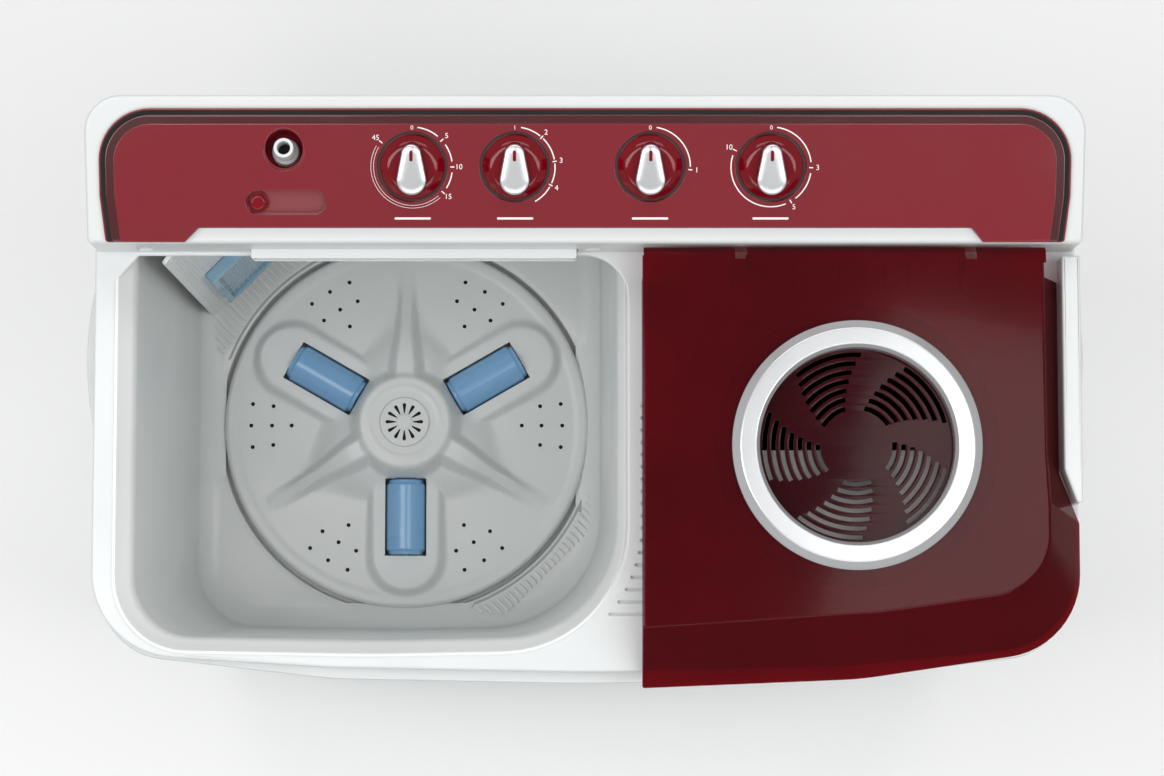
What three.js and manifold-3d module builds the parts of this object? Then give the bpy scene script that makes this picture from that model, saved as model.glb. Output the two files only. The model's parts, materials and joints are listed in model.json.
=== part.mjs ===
// Semi-automatic twin tub washing machine, built as it comes apart on a bench.
// Millimetres. X runs to the right, Y to the back and Z up from the floor.
// The wash tub is on the left, the spin tub on the right and the console across the back.
import * as THREE from "three";
import { mergeVertices } from "three/addons/utils/BufferGeometryUtils.js";
import Module from "manifold-3d";

// Driving dimensions of the whole machine
const deckTop = 905;
const deckHalfWidth = 416;
const overallHalfWidth = 430;
const overallHalfDepth = 244;
const wall = 3;
const gap = 0.3;

// Console: a vertical front face, then a panel that climbs to the back
const consoleFront = 125;
const consoleLip = 55;
const panelRise = 35;
const panelSlope = Math.atan(panelRise / (overallHalfDepth - consoleFront));

// Wash side
const washCentre = [-171.6, 10];
const tubFloor = 502;
const dishFloor = 490;
const pulsatorRadius = 176;
const rollerRadius = 19;
const rollerLength = 72;
const rollerPlace = 89;
const rollerHeight = dishFloor + 21.5;
const rollerAngles = [30, 150, 270];
const shaftRadius = 8;

// Wash drive under the tub
const driveTop = 486.7;
const pulleyBottom = 340;
const pulleyHeight = 18;
const gearboxPulleyRadius = 80;
const motorPulleyRadius = 20;
const washMotorCentre = [washCentre[0], washCentre[1] + 150];

// Spin side
const spinCentre = [226.5, -45];
const basketRadius = 120;
const basketBottom = 500;
const basketTop = 880;
const spinOpening = 108;
const spinShaftRadius = 7;
const brakeDiscRadius = 60;
const brakeDiscBottom = 262;

// Lids
const lidLeft = 48;
const lidRight = 399.5;
const lidTop = deckTop + 47;
const lidHinge = { y: 110, z: deckTop + 37 };
const lidHingeReach = 13.8;
const lidPostOffset = 96;
const lidRingCentre = [226, -43];
const innerLidHinge = { y: 72, z: deckTop + 6 };
const innerLidHingeOffset = 91;

// Knobs on the panel: where each stands across the machine
const knobLine = 64.5;
const knobs = [
  { name: "wash_timer", x: -143 },
  { name: "wash_selector", x: -58 },
  { name: "drain_selector", x: 54 },
  { name: "spin_timer", x: 154 },
];

const kernel = await Module();
kernel.setup();

// ---------------------------------------------------------------- finishes

function finish(color, roughness, metalness = 0, opacity = 1) {
  const transparent = opacity < 1;
  return new THREE.MeshStandardMaterial({ color, roughness, metalness, opacity, transparent });
}

const whitePlastic = () => finish(0xe4e7e6, 0.35);
const greyPlastic = () => finish(0xc4c7c6, 0.4);
const redPlastic = () => finish(0x8a1a26, 0.15);
const redClear = () => finish(0x6b1020, 0.1, 0, 0.8);
const silverPlastic = () => finish(0xc8cacc, 0.25, 0.6);
const bluePlastic = () => finish(0x6fa1cb, 0.3);
const blackRubber = () => finish(0x222222, 0.8);
const steel = () => finish(0xa0a4a8, 0.35, 1);
const castMetal = () => finish(0x7c8084, 0.6, 0.8);

// ---------------------------------------------------------------- solids

// A closed solid with its faces pointing out, ready to be joined or cut.
function solidOf(geometry) {
  const bare = geometry.clone();
  bare.deleteAttribute("normal");
  bare.deleteAttribute("uv");
  const merged = mergeVertices(bare, 1e-3);
  const place = merged.attributes.position;
  const corner = (i) => new THREE.Vector3().fromBufferAttribute(place, i);
  const triangles = [];
  let volume = 0;
  for (let i = 0; i < merged.index.count; i += 3) {
    const [a, b, c] = [0, 1, 2].map((step) => merged.index.getX(i + step));
    if (a === b || b === c || c === a) continue;
    triangles.push([a, b, c]);
    volume += corner(a).dot(corner(b).cross(corner(c)));
  }
  const facing = volume < 0 ? triangles.map(([a, b, c]) => [a, c, b]) : triangles;
  return new kernel.Manifold(new kernel.Mesh({
    numProp: 3,
    vertProperties: Float32Array.from(place.array),
    triVerts: Uint32Array.from(facing.flat()),
  }));
}

function geometryOf(solid) {
  const raw = solid.getMesh();
  const geometry = new THREE.BufferGeometry();
  geometry.setAttribute("position", new THREE.BufferAttribute(Float32Array.from(raw.vertProperties), 3));
  geometry.setIndex(Array.from(raw.triVerts));
  geometry.computeVertexNormals();
  return geometry;
}

function join(first, ...others) {
  return geometryOf(others.reduce((sum, next) => sum.add(solidOf(next)), solidOf(first)));
}

function cut(first, ...tools) {
  return geometryOf(tools.reduce((rest, tool) => rest.subtract(solidOf(tool)), solidOf(first)));
}

// A box between two corners.
function block([x0, y0, z0], [x1, y1, z1]) {
  const box = new THREE.BoxGeometry(x1 - x0, y1 - y0, z1 - z0);
  return box.translate((x0 + x1) / 2, (y0 + y1) / 2, (z0 + z1) / 2);
}

// A shape turned about the vertical through a centre, from [radius, height] pairs.
function turned(profile, steps = 32, [x, y] = [0, 0]) {
  const points = profile.map(([radius, height]) => new THREE.Vector2(radius, height));
  return new THREE.LatheGeometry(points, steps).rotateX(Math.PI / 2).translate(x, y, 0);
}

// The same for a shape with a hole along its axis.
function turnedRing(profile, steps, centre) {
  return turned([...profile, profile[0]], steps, centre);
}

function post(radius, low, high, centre, steps = 24) {
  return turned([[0, low], [radius, low], [radius, high], [0, high]], steps, centre);
}

// A rod lying along X.
function crossRod(radius, x0, x1, y, z, steps = 12) {
  const rod = turned([[0, x0], [radius, x0], [radius, x1], [0, x1]], steps);
  return rod.rotateY(Math.PI / 2).translate(0, y, z);
}

// A flat outline, given counter-clockwise, lifted between two heights.
function slab(outline, low, high, holes = []) {
  const shape = new THREE.Shape(outline);
  shape.holes = holes.map((hole) => new THREE.Path(hole));
  const lifted = new THREE.ExtrudeGeometry(shape, { depth: high - low, bevelEnabled: false });
  return lifted.translate(0, 0, low);
}

// A [y, z] outline drawn out along X.
function drawnAcross(outline, x0, x1) {
  const points = outline.map(([y, z]) => new THREE.Vector2(y, z));
  const shape = new THREE.Shape(points);
  const length = new THREE.ExtrudeGeometry(shape, { depth: x1 - x0, bevelEnabled: false });
  return length.rotateY(Math.PI / 2).rotateX(Math.PI / 2).translate(x0, 0, 0);
}

// Straight sides through [x, y, radius] corners, each corner rounded by its radius.
function rounded(corners, arcSteps = 5) {
  const points = [];
  corners.forEach(([x, y, radius], i) => {
    const corner = new THREE.Vector2(x, y);
    const before = corners[(i + corners.length - 1) % corners.length];
    const after = corners[(i + 1) % corners.length];
    const back = new THREE.Vector2(before[0] - x, before[1] - y).normalize();
    const on = new THREE.Vector2(after[0] - x, after[1] - y).normalize();
    if (!radius) {
      points.push(corner);
      return;
    }
    const half = Math.acos(THREE.MathUtils.clamp(back.dot(on), -1, 1)) / 2;
    const middle = back.clone().add(on).setLength(radius / Math.sin(half)).add(corner);
    const start = back.clone().multiplyScalar(radius / Math.tan(half)).add(corner).sub(middle);
    const turn = (Math.PI - 2 * half) * Math.sign(on.cross(back));
    for (let step = 0; step <= arcSteps; step++) {
      points.push(start.clone().rotateAround(new THREE.Vector2(), turn * step / arcSteps).add(middle));
    }
  });
  return points;
}

function circle(radius, [x, y], steps = 32) {
  const points = [];
  for (let step = 0; step < steps; step++) {
    const angle = 2 * Math.PI * step / steps;
    points.push(new THREE.Vector2(x + radius * Math.cos(angle), y + radius * Math.sin(angle)));
  }
  return points;
}

// An outline lifted to a height, or to a height that depends on the place.
function ring(outline, height) {
  const lift = typeof height === "function" ? height : () => height;
  return outline.map((point) => new THREE.Vector3(point.x, point.y, lift(point)));
}

// A skin over rings of equal point count. It ends in flat caps, or returns to its first ring.
function skin(rings, loop = false) {
  const count = rings[0].length;
  const index = [];
  const strips = loop ? rings.length : rings.length - 1;
  for (let level = 0; level < strips; level++) {
    const low = level * count;
    const high = ((level + 1) % rings.length) * count;
    for (let i = 0; i < count; i++) {
      const next = (i + 1) % count;
      index.push(low + i, low + next, high + next, low + i, high + next, high + i);
    }
  }
  if (!loop) {
    const last = (rings.length - 1) * count;
    const flat = (points) => points.map((point) => new THREE.Vector2(point.x, point.y));
    for (const [a, b, c] of THREE.ShapeUtils.triangulateShape(flat(rings[0]), [])) index.push(c, b, a);
    for (const [a, b, c] of THREE.ShapeUtils.triangulateShape(flat(rings.at(-1)), [])) {
      index.push(last + a, last + b, last + c);
    }
  }
  const geometry = new THREE.BufferGeometry();
  const places = rings.flat().flatMap((point) => [point.x, point.y, point.z]);
  geometry.setAttribute("position", new THREE.Float32BufferAttribute(places, 3));
  geometry.setIndex(index);
  return geometry;
}

// A place at a radius and an angle in degrees about a centre.
function around([x, y], radius, degrees) {
  const angle = THREE.MathUtils.degToRad(degrees);
  return [x + radius * Math.cos(angle), y + radius * Math.sin(angle)];
}

const machine = new THREE.Group();

function add(name, geometry, material, group = machine) {
  const mesh = new THREE.Mesh(join(geometry), material);
  mesh.name = name;
  group.add(mesh);
  return mesh;
}

// ---------------------------------------------------------------- base, feet and cabinet

const cabinetFoot = 70;
const cabinetHead = deckTop - 44;
const baseBottom = 22;
const baseFloor = baseBottom + 5;
const springCircle = 52;
const springAngles = [90, 210, 330];
const rearPanel = { left: -305, right: -35, bottom: 130, top: 430 };
const outletPlace = [330, 150];
const glandPlace = [-380, 420];

// The cabinet in plan: crowned at the front, square at the back. It tapers at the sides and front.
function cabinetPlan(inset, taper = 0) {
  const side = deckHalfWidth - 2 - inset - taper;
  const forward = inset + taper;
  const back = overallHalfDepth - 6 - inset;
  return rounded([
    [-side, -213 + forward, 58 - forward], [-215, -236 + forward, 400], [0, -240 + forward, 1200],
    [215, -236 + forward, 400], [side, -213 + forward, 58 - forward], [side, back, 24 - inset],
    [-side, back, 24 - inset],
  ], 3);
}

function addBase() {
  const drop = 11;
  const tray = skin([
    ring(cabinetPlan(drop + 3), baseBottom), ring(cabinetPlan(drop), baseBottom + 73),
    ring(cabinetPlan(drop + wall), baseBottom + 73), ring(cabinetPlan(drop + 3 + wall), baseFloor),
  ]);
  const seats = springAngles.map((angle) => {
    return post(8, baseFloor - 1, baseFloor + 14, around(spinCentre, springCircle, angle), 12);
  });
  add("base_tray", join(tray, ...seats), greyPlastic());
  for (const [end, y] of [["front", -165], ["back", 190]]) {
    for (const [side, x] of [["left", -350], ["right", 350]]) {
      const high = baseBottom - gap;
      const foot = turned([[0, 0], [19, 0], [22, 3], [17, high], [0, high]], 16, [x, y]);
      add(`foot_${end}_${side}`, foot, blackRubber());
    }
  }
}

// A moulded grip on the cabinet's side: an arc in plan, standing out past a flat at reach.
function gripBow(side, inset, reach, low, high) {
  const radius = 290 - inset;
  const centre = overallHalfWidth - 290;
  const half = Math.acos((reach - centre) / radius);
  const points = [];
  for (let step = 0; step <= 8; step++) {
    const angle = half * (step / 4 - 1);
    points.push(new THREE.Vector2(side * (centre + radius * Math.cos(angle)), 40 + radius * Math.sin(angle)));
  }
  return slab(points, low, high);
}

function addCabinet() {
  const shell = skin([
    ring(cabinetPlan(0, 8), cabinetFoot), ring(cabinetPlan(0), cabinetHead),
    ring(cabinetPlan(wall), cabinetHead), ring(cabinetPlan(wall, 8), cabinetFoot),
  ], true);
  const gripTop = 850;
  const gripHeight = 70;
  const gripLow = gripTop - gripHeight;
  const bows = [-1, 1].map((side) => gripBow(side, 0, deckHalfWidth - 4, gripLow, gripTop));
  const inside = slab(cabinetPlan(wall), gripLow - 1, gripTop + 1);
  const pockets = [-1, 1].map((side) => gripBow(side, wall, deckHalfWidth - 0.5, gripLow - 1, gripTop - 8));
  const across = overallHalfDepth - 40;
  const service = block(
    [rearPanel.left + 12, across, rearPanel.bottom + 12],
    [rearPanel.right - 12, overallHalfDepth, rearPanel.top - 12],
  );
  const outlet = backHole(18.5, outletPlace);
  const gland = backHole(10.5, glandPlace);
  const grips = bows.map((bow, i) => cut(bow, inside, pockets[i]));
  add("cabinet_shell", cut(join(shell, ...grips), service, outlet, gland), whitePlastic());
}

// A round bar along Y through the cabinet's back wall.
function backHole(radius, [x, z], y0 = overallHalfDepth - 40, y1 = overallHalfDepth) {
  const bar = turned([[0, -y1], [radius, -y1], [radius, -y0], [0, -y0]], 16);
  return bar.rotateX(Math.PI / 2).translate(x, 0, z);
}

function addRearCover() {
  const face = overallHalfDepth - 6;
  const plate = rounded([
    [rearPanel.left, -rearPanel.top, 8], [rearPanel.right, -rearPanel.top, 8],
    [rearPanel.right, -rearPanel.bottom, 8], [rearPanel.left, -rearPanel.bottom, 8],
  ], 2);
  const slots = [];
  for (let i = 0; i < 7; i++) {
    const z = -(rearPanel.bottom + 70 + i * 18);
    slots.push(rounded([[-255, z - 4, 0], [-85, z - 4, 0], [-85, z + 4, 0], [-255, z + 4, 0]]));
  }
  const cover = slab(plate, 0, 2.5, slots).rotateX(-Math.PI / 2).translate(0, face + gap, 0);
  add("rear_cover", cover, greyPlastic());
}

function addBackFittings() {
  const [outletX, outletZ] = outletPlace;
  const inner = overallHalfDepth - 70;
  const outer = overallHalfDepth - 1;
  const collar = overallHalfDepth - 6 - wall - gap;
  const spigot = turnedRing([
    [13, inner], [17, inner], [17, collar - 3], [24, collar - 3], [24, collar], [17, collar], [17, outer],
    [13, outer],
  ], 16);
  add("drain_outlet", spigot.rotateX(-Math.PI / 2).translate(outletX, 0, outletZ), greyPlastic());
  const [glandX, glandZ] = glandPlace;
  const bush = turnedRing([
    [4.5, outer - 18], [9.5, outer - 18], [9.5, outer - 4.5], [13, outer - 4.5], [13, outer], [4.5, outer],
  ], 16);
  add("cable_gland", bush.rotateX(-Math.PI / 2).translate(glandX, 0, glandZ), blackRubber());
}

// ---------------------------------------------------------------- deck and tubs

function deckPlan(inset) {
  const side = deckHalfWidth - inset;
  return rounded([
    [-side, -207 + inset, 72 - inset], [-215, -226.5 + inset, 400], [0, -230.5 + inset, 1200],
    [215, -226.5 + inset, 400], [side, -207 + inset, 72 - inset],
    [side, overallHalfDepth - 1 - inset, 28 - inset], [-side, overallHalfDepth - 1 - inset, 28 - inset],
  ], 3);
}

function washOpening() {
  return rounded([
    [-385, -202.5, 50], [33, -202.5, 108], [33, 118, 36], [-366, 118, 0], [-385, 97, 0],
  ], 5);
}

function addDeck() {
  const plate = slab(deckPlan(0), deckTop - 4, deckTop, [washOpening(), circle(spinOpening, spinCentre, 32)]);
  const skirt = slab(deckPlan(0), deckTop - 43, deckTop - 2, [deckPlan(wall)]);
  const rail = slab(rounded([
    [deckHalfWidth, 118, 0], [deckHalfWidth, -104, 0], [400.5, -62, 10], [400.5, 118, 0],
  ], 2), deckTop - 2, deckTop + 31);
  const lidPosts = [-1, 1].map((side) => {
    const x = spinCentre[0] + side * lidPostOffset;
    const foot = block([x - 3, lidHinge.y - 6, deckTop - 2], [x + 3, lidHinge.y + 6, lidHinge.z]);
    const head = crossRod(6, x - 3, x + 3, lidHinge.y, lidHinge.z, 12);
    const tip = x - side * 11;
    const pin = crossRod(3, Math.min(x, tip), Math.max(x, tip), lidHinge.y, lidHinge.z, 10);
    return join(foot, head, pin);
  });
  const innerPosts = [-1, 1].map((side) => {
    const near = spinCentre[0] + side * (innerLidHingeOffset + 10.6);
    const far = near + side * 5;
    const { y, z } = innerLidHinge;
    const ear = block([Math.min(near, far), y - 5, deckTop - 2], [Math.max(near, far), y + 5, z + 5]);
    const tip = near - side * 8;
    return join(ear, crossRod(2.4, Math.min(far - side, tip), Math.max(far - side, tip), y, z, 10));
  });
  add("top_deck", join(plate, skirt, rail, ...lidPosts, ...innerPosts), whitePlastic());
}

// The wash tub in plan at its mouth (share 1) and at its floor (share 0).
function washTubPlan(share, grow) {
  const mix = THREE.MathUtils.lerp;
  const left = mix(-373, -386, share) - grow;
  const right = mix(18, 34, share) + grow;
  const front = mix(-185, -204, share) - grow;
  const back = mix(205, 209, share) + grow;
  return rounded([
    [left, front, mix(62, 50, share) + grow], [right, front, mix(112, 106, share) + grow],
    [right, back, 40 + grow], [left, back, 40 + grow],
  ], 4);
}

function addWashTub() {
  const mouth = deckTop - 4 - gap;
  const cup = skin([
    ring(washTubPlan(0, wall), tubFloor - wall), ring(washTubPlan(0.97, wall), mouth - 12),
    ring(washTubPlan(0.97, wall + 3), mouth - wall), ring(washTubPlan(1, wall + 3), mouth),
    ring(washTubPlan(1, 0), mouth), ring(washTubPlan(0, 0), tubFloor),
  ]);
  const dish = post(184.5, dishFloor - wall, tubFloor - 1, washCentre, 40);
  const bowl = post(181.5, dishFloor, tubFloor + 1, washCentre, 40);
  const bore = post(shaftRadius + 1.5, dishFloor - 10, tubFloor, washCentre, 16);
  const drain = post(10, tubFloor - 10, tubFloor + 1, drainPlace, 12);
  add("wash_tub", cut(join(cup, dish), bowl, bore, drain), greyPlastic());
}

function addSpinTub() {
  const mouth = deckTop - 4 - gap;
  const floor = 478;
  add("spin_outer_tub", turnedRing([
    [40, floor - wall], [143, floor - wall], [153, mouth - wall], [160, mouth - wall], [160, mouth],
    [150, mouth], [140, floor], [40, floor],
  ], 28, spinCentre), greyPlastic());
}

// ---------------------------------------------------------------- console

const panel = new THREE.Group();
panel.position.set(0, consoleFront, deckTop + consoleLip);
panel.rotation.x = panelSlope;
machine.add(panel);

const panelLength = (overallHalfDepth - consoleFront) / Math.cos(panelSlope);
const inletPlace = [-249, 200];
const slotPlace = { x: -248, line: 35, length: 66, width: 20 };
const sliderRest = -271;
const chute = { left: -282, right: -7, back: 214, height: 18 };

// The console in plan, with its back corners rounded.
function consolePlan(inset) {
  const side = deckHalfWidth - 1 - inset;
  return rounded([
    [-side, consoleFront + inset, 3], [side, consoleFront + inset, 3],
    [side, overallHalfDepth - inset, 30 - inset], [-side, overallHalfDepth - inset, 30 - inset],
  ], 3);
}

// A solid drawn in the panel's frame and brought to the machine's frame.
function onPanel(geometry) {
  const { x, y, z } = panel.position;
  return geometry.rotateX(panelSlope).translate(x, y, z);
}

function addConsoleHousing() {
  const lip = deckTop + consoleLip;
  const climb = (out) => (point) => lip + (point.y - consoleFront) * Math.tan(panelSlope) + out;
  const housing = skin([
    ring(consolePlan(wall), climb(-wall)), ring(consolePlan(wall), deckTop + gap),
    ring(consolePlan(0), deckTop + gap), ring(consolePlan(0), climb(0)),
  ]);
  const shaftHoles = knobs.map(({ x }) => onPanel(post(4.5, -10, 5, [x, knobLine], 10)));
  const slot = onPanel(block(
    [sliderRest - 6, slotPlace.line - 6, -10], [sliderRest + 51, slotPlace.line + 6, 5],
  ));
  const bowl = post(17, deckTop + 60, deckTop + 110, inletPlace, 20);
  const mouth = block([chute.left - 1, 100, deckTop - 5], [chute.right + 1, 140, deckTop + chute.height + 2]);
  add("console_housing", cut(housing, ...shaftHoles, slot, bowl, mouth), whitePlastic());
}

function addFascia() {
  const top = panelLength - 11;
  const plan = rounded([
    [-399, 1, 2], [-333, 1, 0], [-321, 13, 3], [321, 13, 3], [331, 1, 0], [399, 1, 2],
    [403, 40, 20], [403, top, 44], [-403, top, 44], [-403, 40, 20],
  ], 3);
  const raised = rounded([
    [-389, 9, 6], [-331, 9, 0], [-324, 17, 3], [324, 17, 3], [331, 9, 0], [389, 9, 6],
    [389, top - 12, 34], [-389, top - 12, 34],
  ], 3);
  const base = slab(plan, gap, gap + 2.5);
  const plateau = slab(raised, gap + 1, gap + 5);
  const wells = knobs.map(({ x }) => post(29.25, -1, 10, [x, knobLine], 24));
  const half = slotPlace.length / 2 - slotPlace.width / 2;
  const slot = slab(rounded([
    [slotPlace.x - half - 10, slotPlace.line - 10, 9.9], [slotPlace.x + half + 10, slotPlace.line - 10, 9.9],
    [slotPlace.x + half + 10, slotPlace.line + 10, 9.9], [slotPlace.x - half - 10, slotPlace.line + 10, 9.9],
  ], 4), -1, 10);
  const fascia = cut(join(base, plateau), ...wells, slot);
  const bowl = post(17, deckTop + 60, deckTop + 110, inletPlace, 20);
  add("console_fascia", cut(onPanel(fascia), bowl), redPlastic());
}

// The hose nozzle stands upright in a bowl and opens into the chute below.
function addWaterPath() {
  const [x, y] = inletPlace;
  const seat = deckTop + 1 + chute.height + gap;
  add("water_inlet_nozzle", turnedRing([
    [5.5, seat], [14, seat], [14, seat + 3], [11, seat + 3], [11, seat + 48], [8.25, seat + 50],
    [8.25, seat + 68], [5.5, seat + 68],
  ], 16, [x, y]), whitePlastic());
  const low = deckTop + gap;
  const high = deckTop + 1 + chute.height;
  const tray = block([chute.left, consoleFront - 8, low], [chute.right, chute.back, high]);
  const channel = block(
    [chute.left + 2.5, consoleFront - 20, low + 2], [chute.right - 2.5, chute.back - 2.5, high - 2],
  );
  const drop = post(6, high - 5, high + 1, inletPlace, 16);
  add("water_chute", cut(tray, channel, drop), whitePlastic());
}

function addSlider() {
  const shoe = post(9, gap, 2.2, [sliderRest, slotPlace.line], 20);
  const stem = post(6.5, 1, 9, [sliderRest, slotPlace.line], 20);
  const arm = block([sliderRest - 4, slotPlace.line - 4, -14], [sliderRest + 4, slotPlace.line + 4, 1]);
  add("water_selector_slider", join(shoe, stem, arm), redClear(), panel);
}

// An egg in plan: a narrow end towards the back and a wide end towards the front.
function eggPlan(shrink) {
  const narrow = 6.5 - shrink;
  const wide = 12.75 - shrink;
  const points = [];
  const lean = Math.asin((wide - narrow) / 24);
  for (let step = 0; step <= 4; step++) {
    const angle = lean + (Math.PI - 2 * lean) * step / 4;
    points.push(new THREE.Vector2(narrow * Math.cos(angle), 15 + narrow * Math.sin(angle)));
  }
  for (let step = 0; step <= 6; step++) {
    const angle = Math.PI - lean + (Math.PI + 2 * lean) * step / 6;
    points.push(new THREE.Vector2(wide * Math.cos(angle), -9 + wide * Math.sin(angle)));
  }
  return points;
}

function addKnobs() {
  for (const { name, x } of knobs) {
    const knob = new THREE.Group();
    knob.position.set(x, knobLine, 0);
    panel.add(knob);
    const dome = turned([[0, 1], [27, 1], [27, 5], [20, 11], [0, 12]], 20);
    const grip = slab(eggPlan(0), 9, 22);
    const stem = post(3, -24, 2, [0, 0], 10);
    add(`${name}_knob`, join(dome, grip, stem), redClear(), knob);
    add(`${name}_knob_cap`, slab(eggPlan(0.8), 22 + gap, 24.5), silverPlastic(), knob);
  }
}

// The switch bodies hang under the panel, each with a socket for its knob's stem.
function addSwitches() {
  const units = {
    wash_timer: { name: "wash_timer_unit", size: [29, 27, 34] },
    wash_selector: { name: "wash_selector_switch", size: [20, 20, 24] },
    drain_selector: { name: "drain_selector_cam", size: [22, 22, 20] },
    spin_timer: { name: "spin_timer_unit", size: [27, 25, 30] },
  };
  for (const { name, x } of knobs) {
    const [halfWidth, halfDepth, height] = units[name].size;
    const top = -wall - 1;
    const low = [x - halfWidth, knobLine - halfDepth, top - height];
    const box = block(low, [x + halfWidth, knobLine + halfDepth, top]);
    const socket = post(4, -26, 0, [x, knobLine], 12);
    const material = name === "drain_selector" ? greyPlastic() : blackRubber();
    add(units[name].name, cut(box, socket), material, panel);
  }
}

// ---------------------------------------------------------------- inside the wash tub

// A floor plate fanned round the pulsator, symmetrical about a diagonal through its centre.
function fanPlan(diagonal, spread, corners) {
  const points = [];
  const inner = 182.5;
  for (let step = 0; step <= 8; step++) {
    const angle = diagonal + spread - 2 * spread * step / 8;
    points.push(new THREE.Vector2(...around(washCentre, inner, angle)));
  }
  const spokes = [...corners].map(([reach, side]) => [reach, -side]).concat([...corners].reverse());
  for (const [reach, side] of spokes) {
    points.push(new THREE.Vector2(...around(washCentre, Math.hypot(reach, side),
      diagonal + THREE.MathUtils.radToDeg(Math.atan2(side, reach)))));
  }
  return points;
}

const columnFace = 209;

function addTubCovers() {
  const foot = slab(fanPlan(135, 24, [[168, 85], [columnFace + 2, 57]]), tubFloor + gap, tubFloor + 3);
  const face = block([columnFace, -58, tubFloor + gap], [columnFace + 4, 58, deckTop - 20]);
  const turnedFace = face.rotateZ(THREE.MathUtils.degToRad(135)).translate(...washCentre, 0);
  add("circulation_column", join(foot, turnedFace), greyPlastic());
  const cover = slab(fanPlan(-45, 24, [[170, 84], [198, 60]]), tubFloor + gap, tubFloor + 3);
  const louvres = [-48, -24, 0, 24, 48].map((side) => {
    const slot = block([188, side - 5, tubFloor - 1], [196, side + 5, tubFloor + 5]);
    return slot.rotateZ(THREE.MathUtils.degToRad(-45)).translate(...washCentre, 0);
  });
  add("drain_cover", cut(cover, ...louvres), greyPlastic());
  const frame = block([columnFace - 12, -38, 555], [columnFace - gap, 38, 705]);
  const pouch = block([columnFace - 13, -31, 562], [columnFace - 3, 31, 698]);
  const filter = cut(frame, pouch).rotateZ(THREE.MathUtils.degToRad(135)).translate(...washCentre, 0);
  add("lint_filter", filter, bluePlastic());
}

function pulsatorGeometry() {
  const shell = turned([
    [0, 550], [40, 550], [45, 543], [46, 528], [58, 517], [176, 506],
    [172, 493], [170, 501], [60, 509], [41, 541], [14, 541], [14, 495],
    [shaftRadius + gap, 495], [shaftRadius + gap, 536], [0, 536],
  ], 36);
  const additions = [];
  const openings = [];
  for (const angle of rollerAngles) {
    const pad = slab(rounded([
      [50, -36, 0], [163, -36, 35], [163, 36, 35], [50, 36, 0],
    ], 3), 507, 520);
    const reach = rollerLength / 2 + 1;
    const side = rollerRadius + 0.9;
    const window = block([rollerPlace - reach, -side, 480], [rollerPlace + reach, side, 540]);
    const socket = crossRod(3.4, rollerPlace - reach - 7, rollerPlace + reach + 7, 0, rollerHeight, 8);
    const ridge = new THREE.ExtrudeGeometry(new THREE.Shape([
      new THREE.Vector2(40, 506), new THREE.Vector2(158, 506), new THREE.Vector2(150, 514),
      new THREE.Vector2(60, 532), new THREE.Vector2(40, 544),
    ]), { depth: 16, bevelEnabled: false }).translate(0, 0, -8).rotateX(Math.PI / 2);
    const turnTo = (shape, degrees) => shape.rotateZ(THREE.MathUtils.degToRad(degrees));
    additions.push(turnTo(pad, angle), turnTo(ridge, angle + 60));
    openings.push(turnTo(window, angle), turnTo(socket, angle));
  }
  return cut(join(shell, ...additions), ...openings);
}

function addPulsator() {
  const group = new THREE.Group();
  group.position.set(...washCentre, 0);
  machine.add(group);
  add("pulsator", pulsatorGeometry(), greyPlastic(), group);
  const cap = turned([[0, 550 + gap], [24, 550 + gap], [22, 553], [0, 553.5]], 24);
  add("pulsator_cap", cap, greyPlastic(), group);
  add("pulsator_shaft", post(shaftRadius, 446, 534, [0, 0], 20), steel(), group);
  rollerAngles.forEach((angle, i) => {
    const half = rollerLength / 2;
    const barrel = crossRod(rollerRadius, rollerPlace - half, rollerPlace + half, 0, rollerHeight, 20);
    const axle = crossRod(3, rollerPlace - half - 6, rollerPlace + half + 6, 0, rollerHeight, 8);
    const roller = join(barrel, axle).rotateZ(THREE.MathUtils.degToRad(angle));
    add(`pulsator_roller_${i + 1}`, roller, bluePlastic(), group);
  });
}

// ---------------------------------------------------------------- wash drive and drain

const drainPlace = around(washCentre, 203, -45);

function addWashDrive() {
  const top = driveTop - wall - gap;
  const plate = slab(rounded([
    [washCentre[0] - 90, washCentre[1] - 80, 20], [washCentre[0] + 90, washCentre[1] - 80, 20],
    [washCentre[0] + 75, washMotorCentre[1] + 62, 20], [washCentre[0] - 75, washMotorCentre[1] + 62, 20],
  ], 3), driveTop - wall, driveTop, [circle(16, washCentre, 20)]);
  add("drive_bracket", plate, steel());
  add("wash_gearbox", turnedRing([
    [shaftRadius + 1, top], [66, top], [66, top - 8], [50, top - 12], [50, 384], [40, 372],
    [shaftRadius + 1, 372],
  ], 20, washCentre), castMetal());
  add("gearbox_pulley", join(
    post(gearboxPulleyRadius, pulleyBottom, pulleyBottom + pulleyHeight, washCentre, 32),
    post(shaftRadius, pulleyBottom - 8, 440, washCentre, 12),
  ), castMetal());
  const shaftHole = post(6.5, 360, 400, washMotorCentre, 16);
  add("wash_motor", cut(turned([
    [0, top], [56, top], [62, top - 8], [62, 384], [50, 370], [0, 370],
  ], 22, washMotorCentre), shaftHole), castMetal());
  add("motor_pulley", join(
    post(motorPulleyRadius, pulleyBottom, pulleyBottom + pulleyHeight, washMotorCentre, 16),
    post(5.5, pulleyBottom - 4, 396, washMotorCentre, 10),
  ), castMetal());
  const beltSlack = 0.8;
  const beltWidth = 10;
  const beltLow = pulleyBottom + (pulleyHeight - beltWidth) / 2;
  const loops = [beltPlan(beltSlack + 5), beltPlan(beltSlack)];
  add("drive_belt", slab(loops[0], beltLow, beltLow + beltWidth, [loops[1]]), blackRubber());
}

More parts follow.
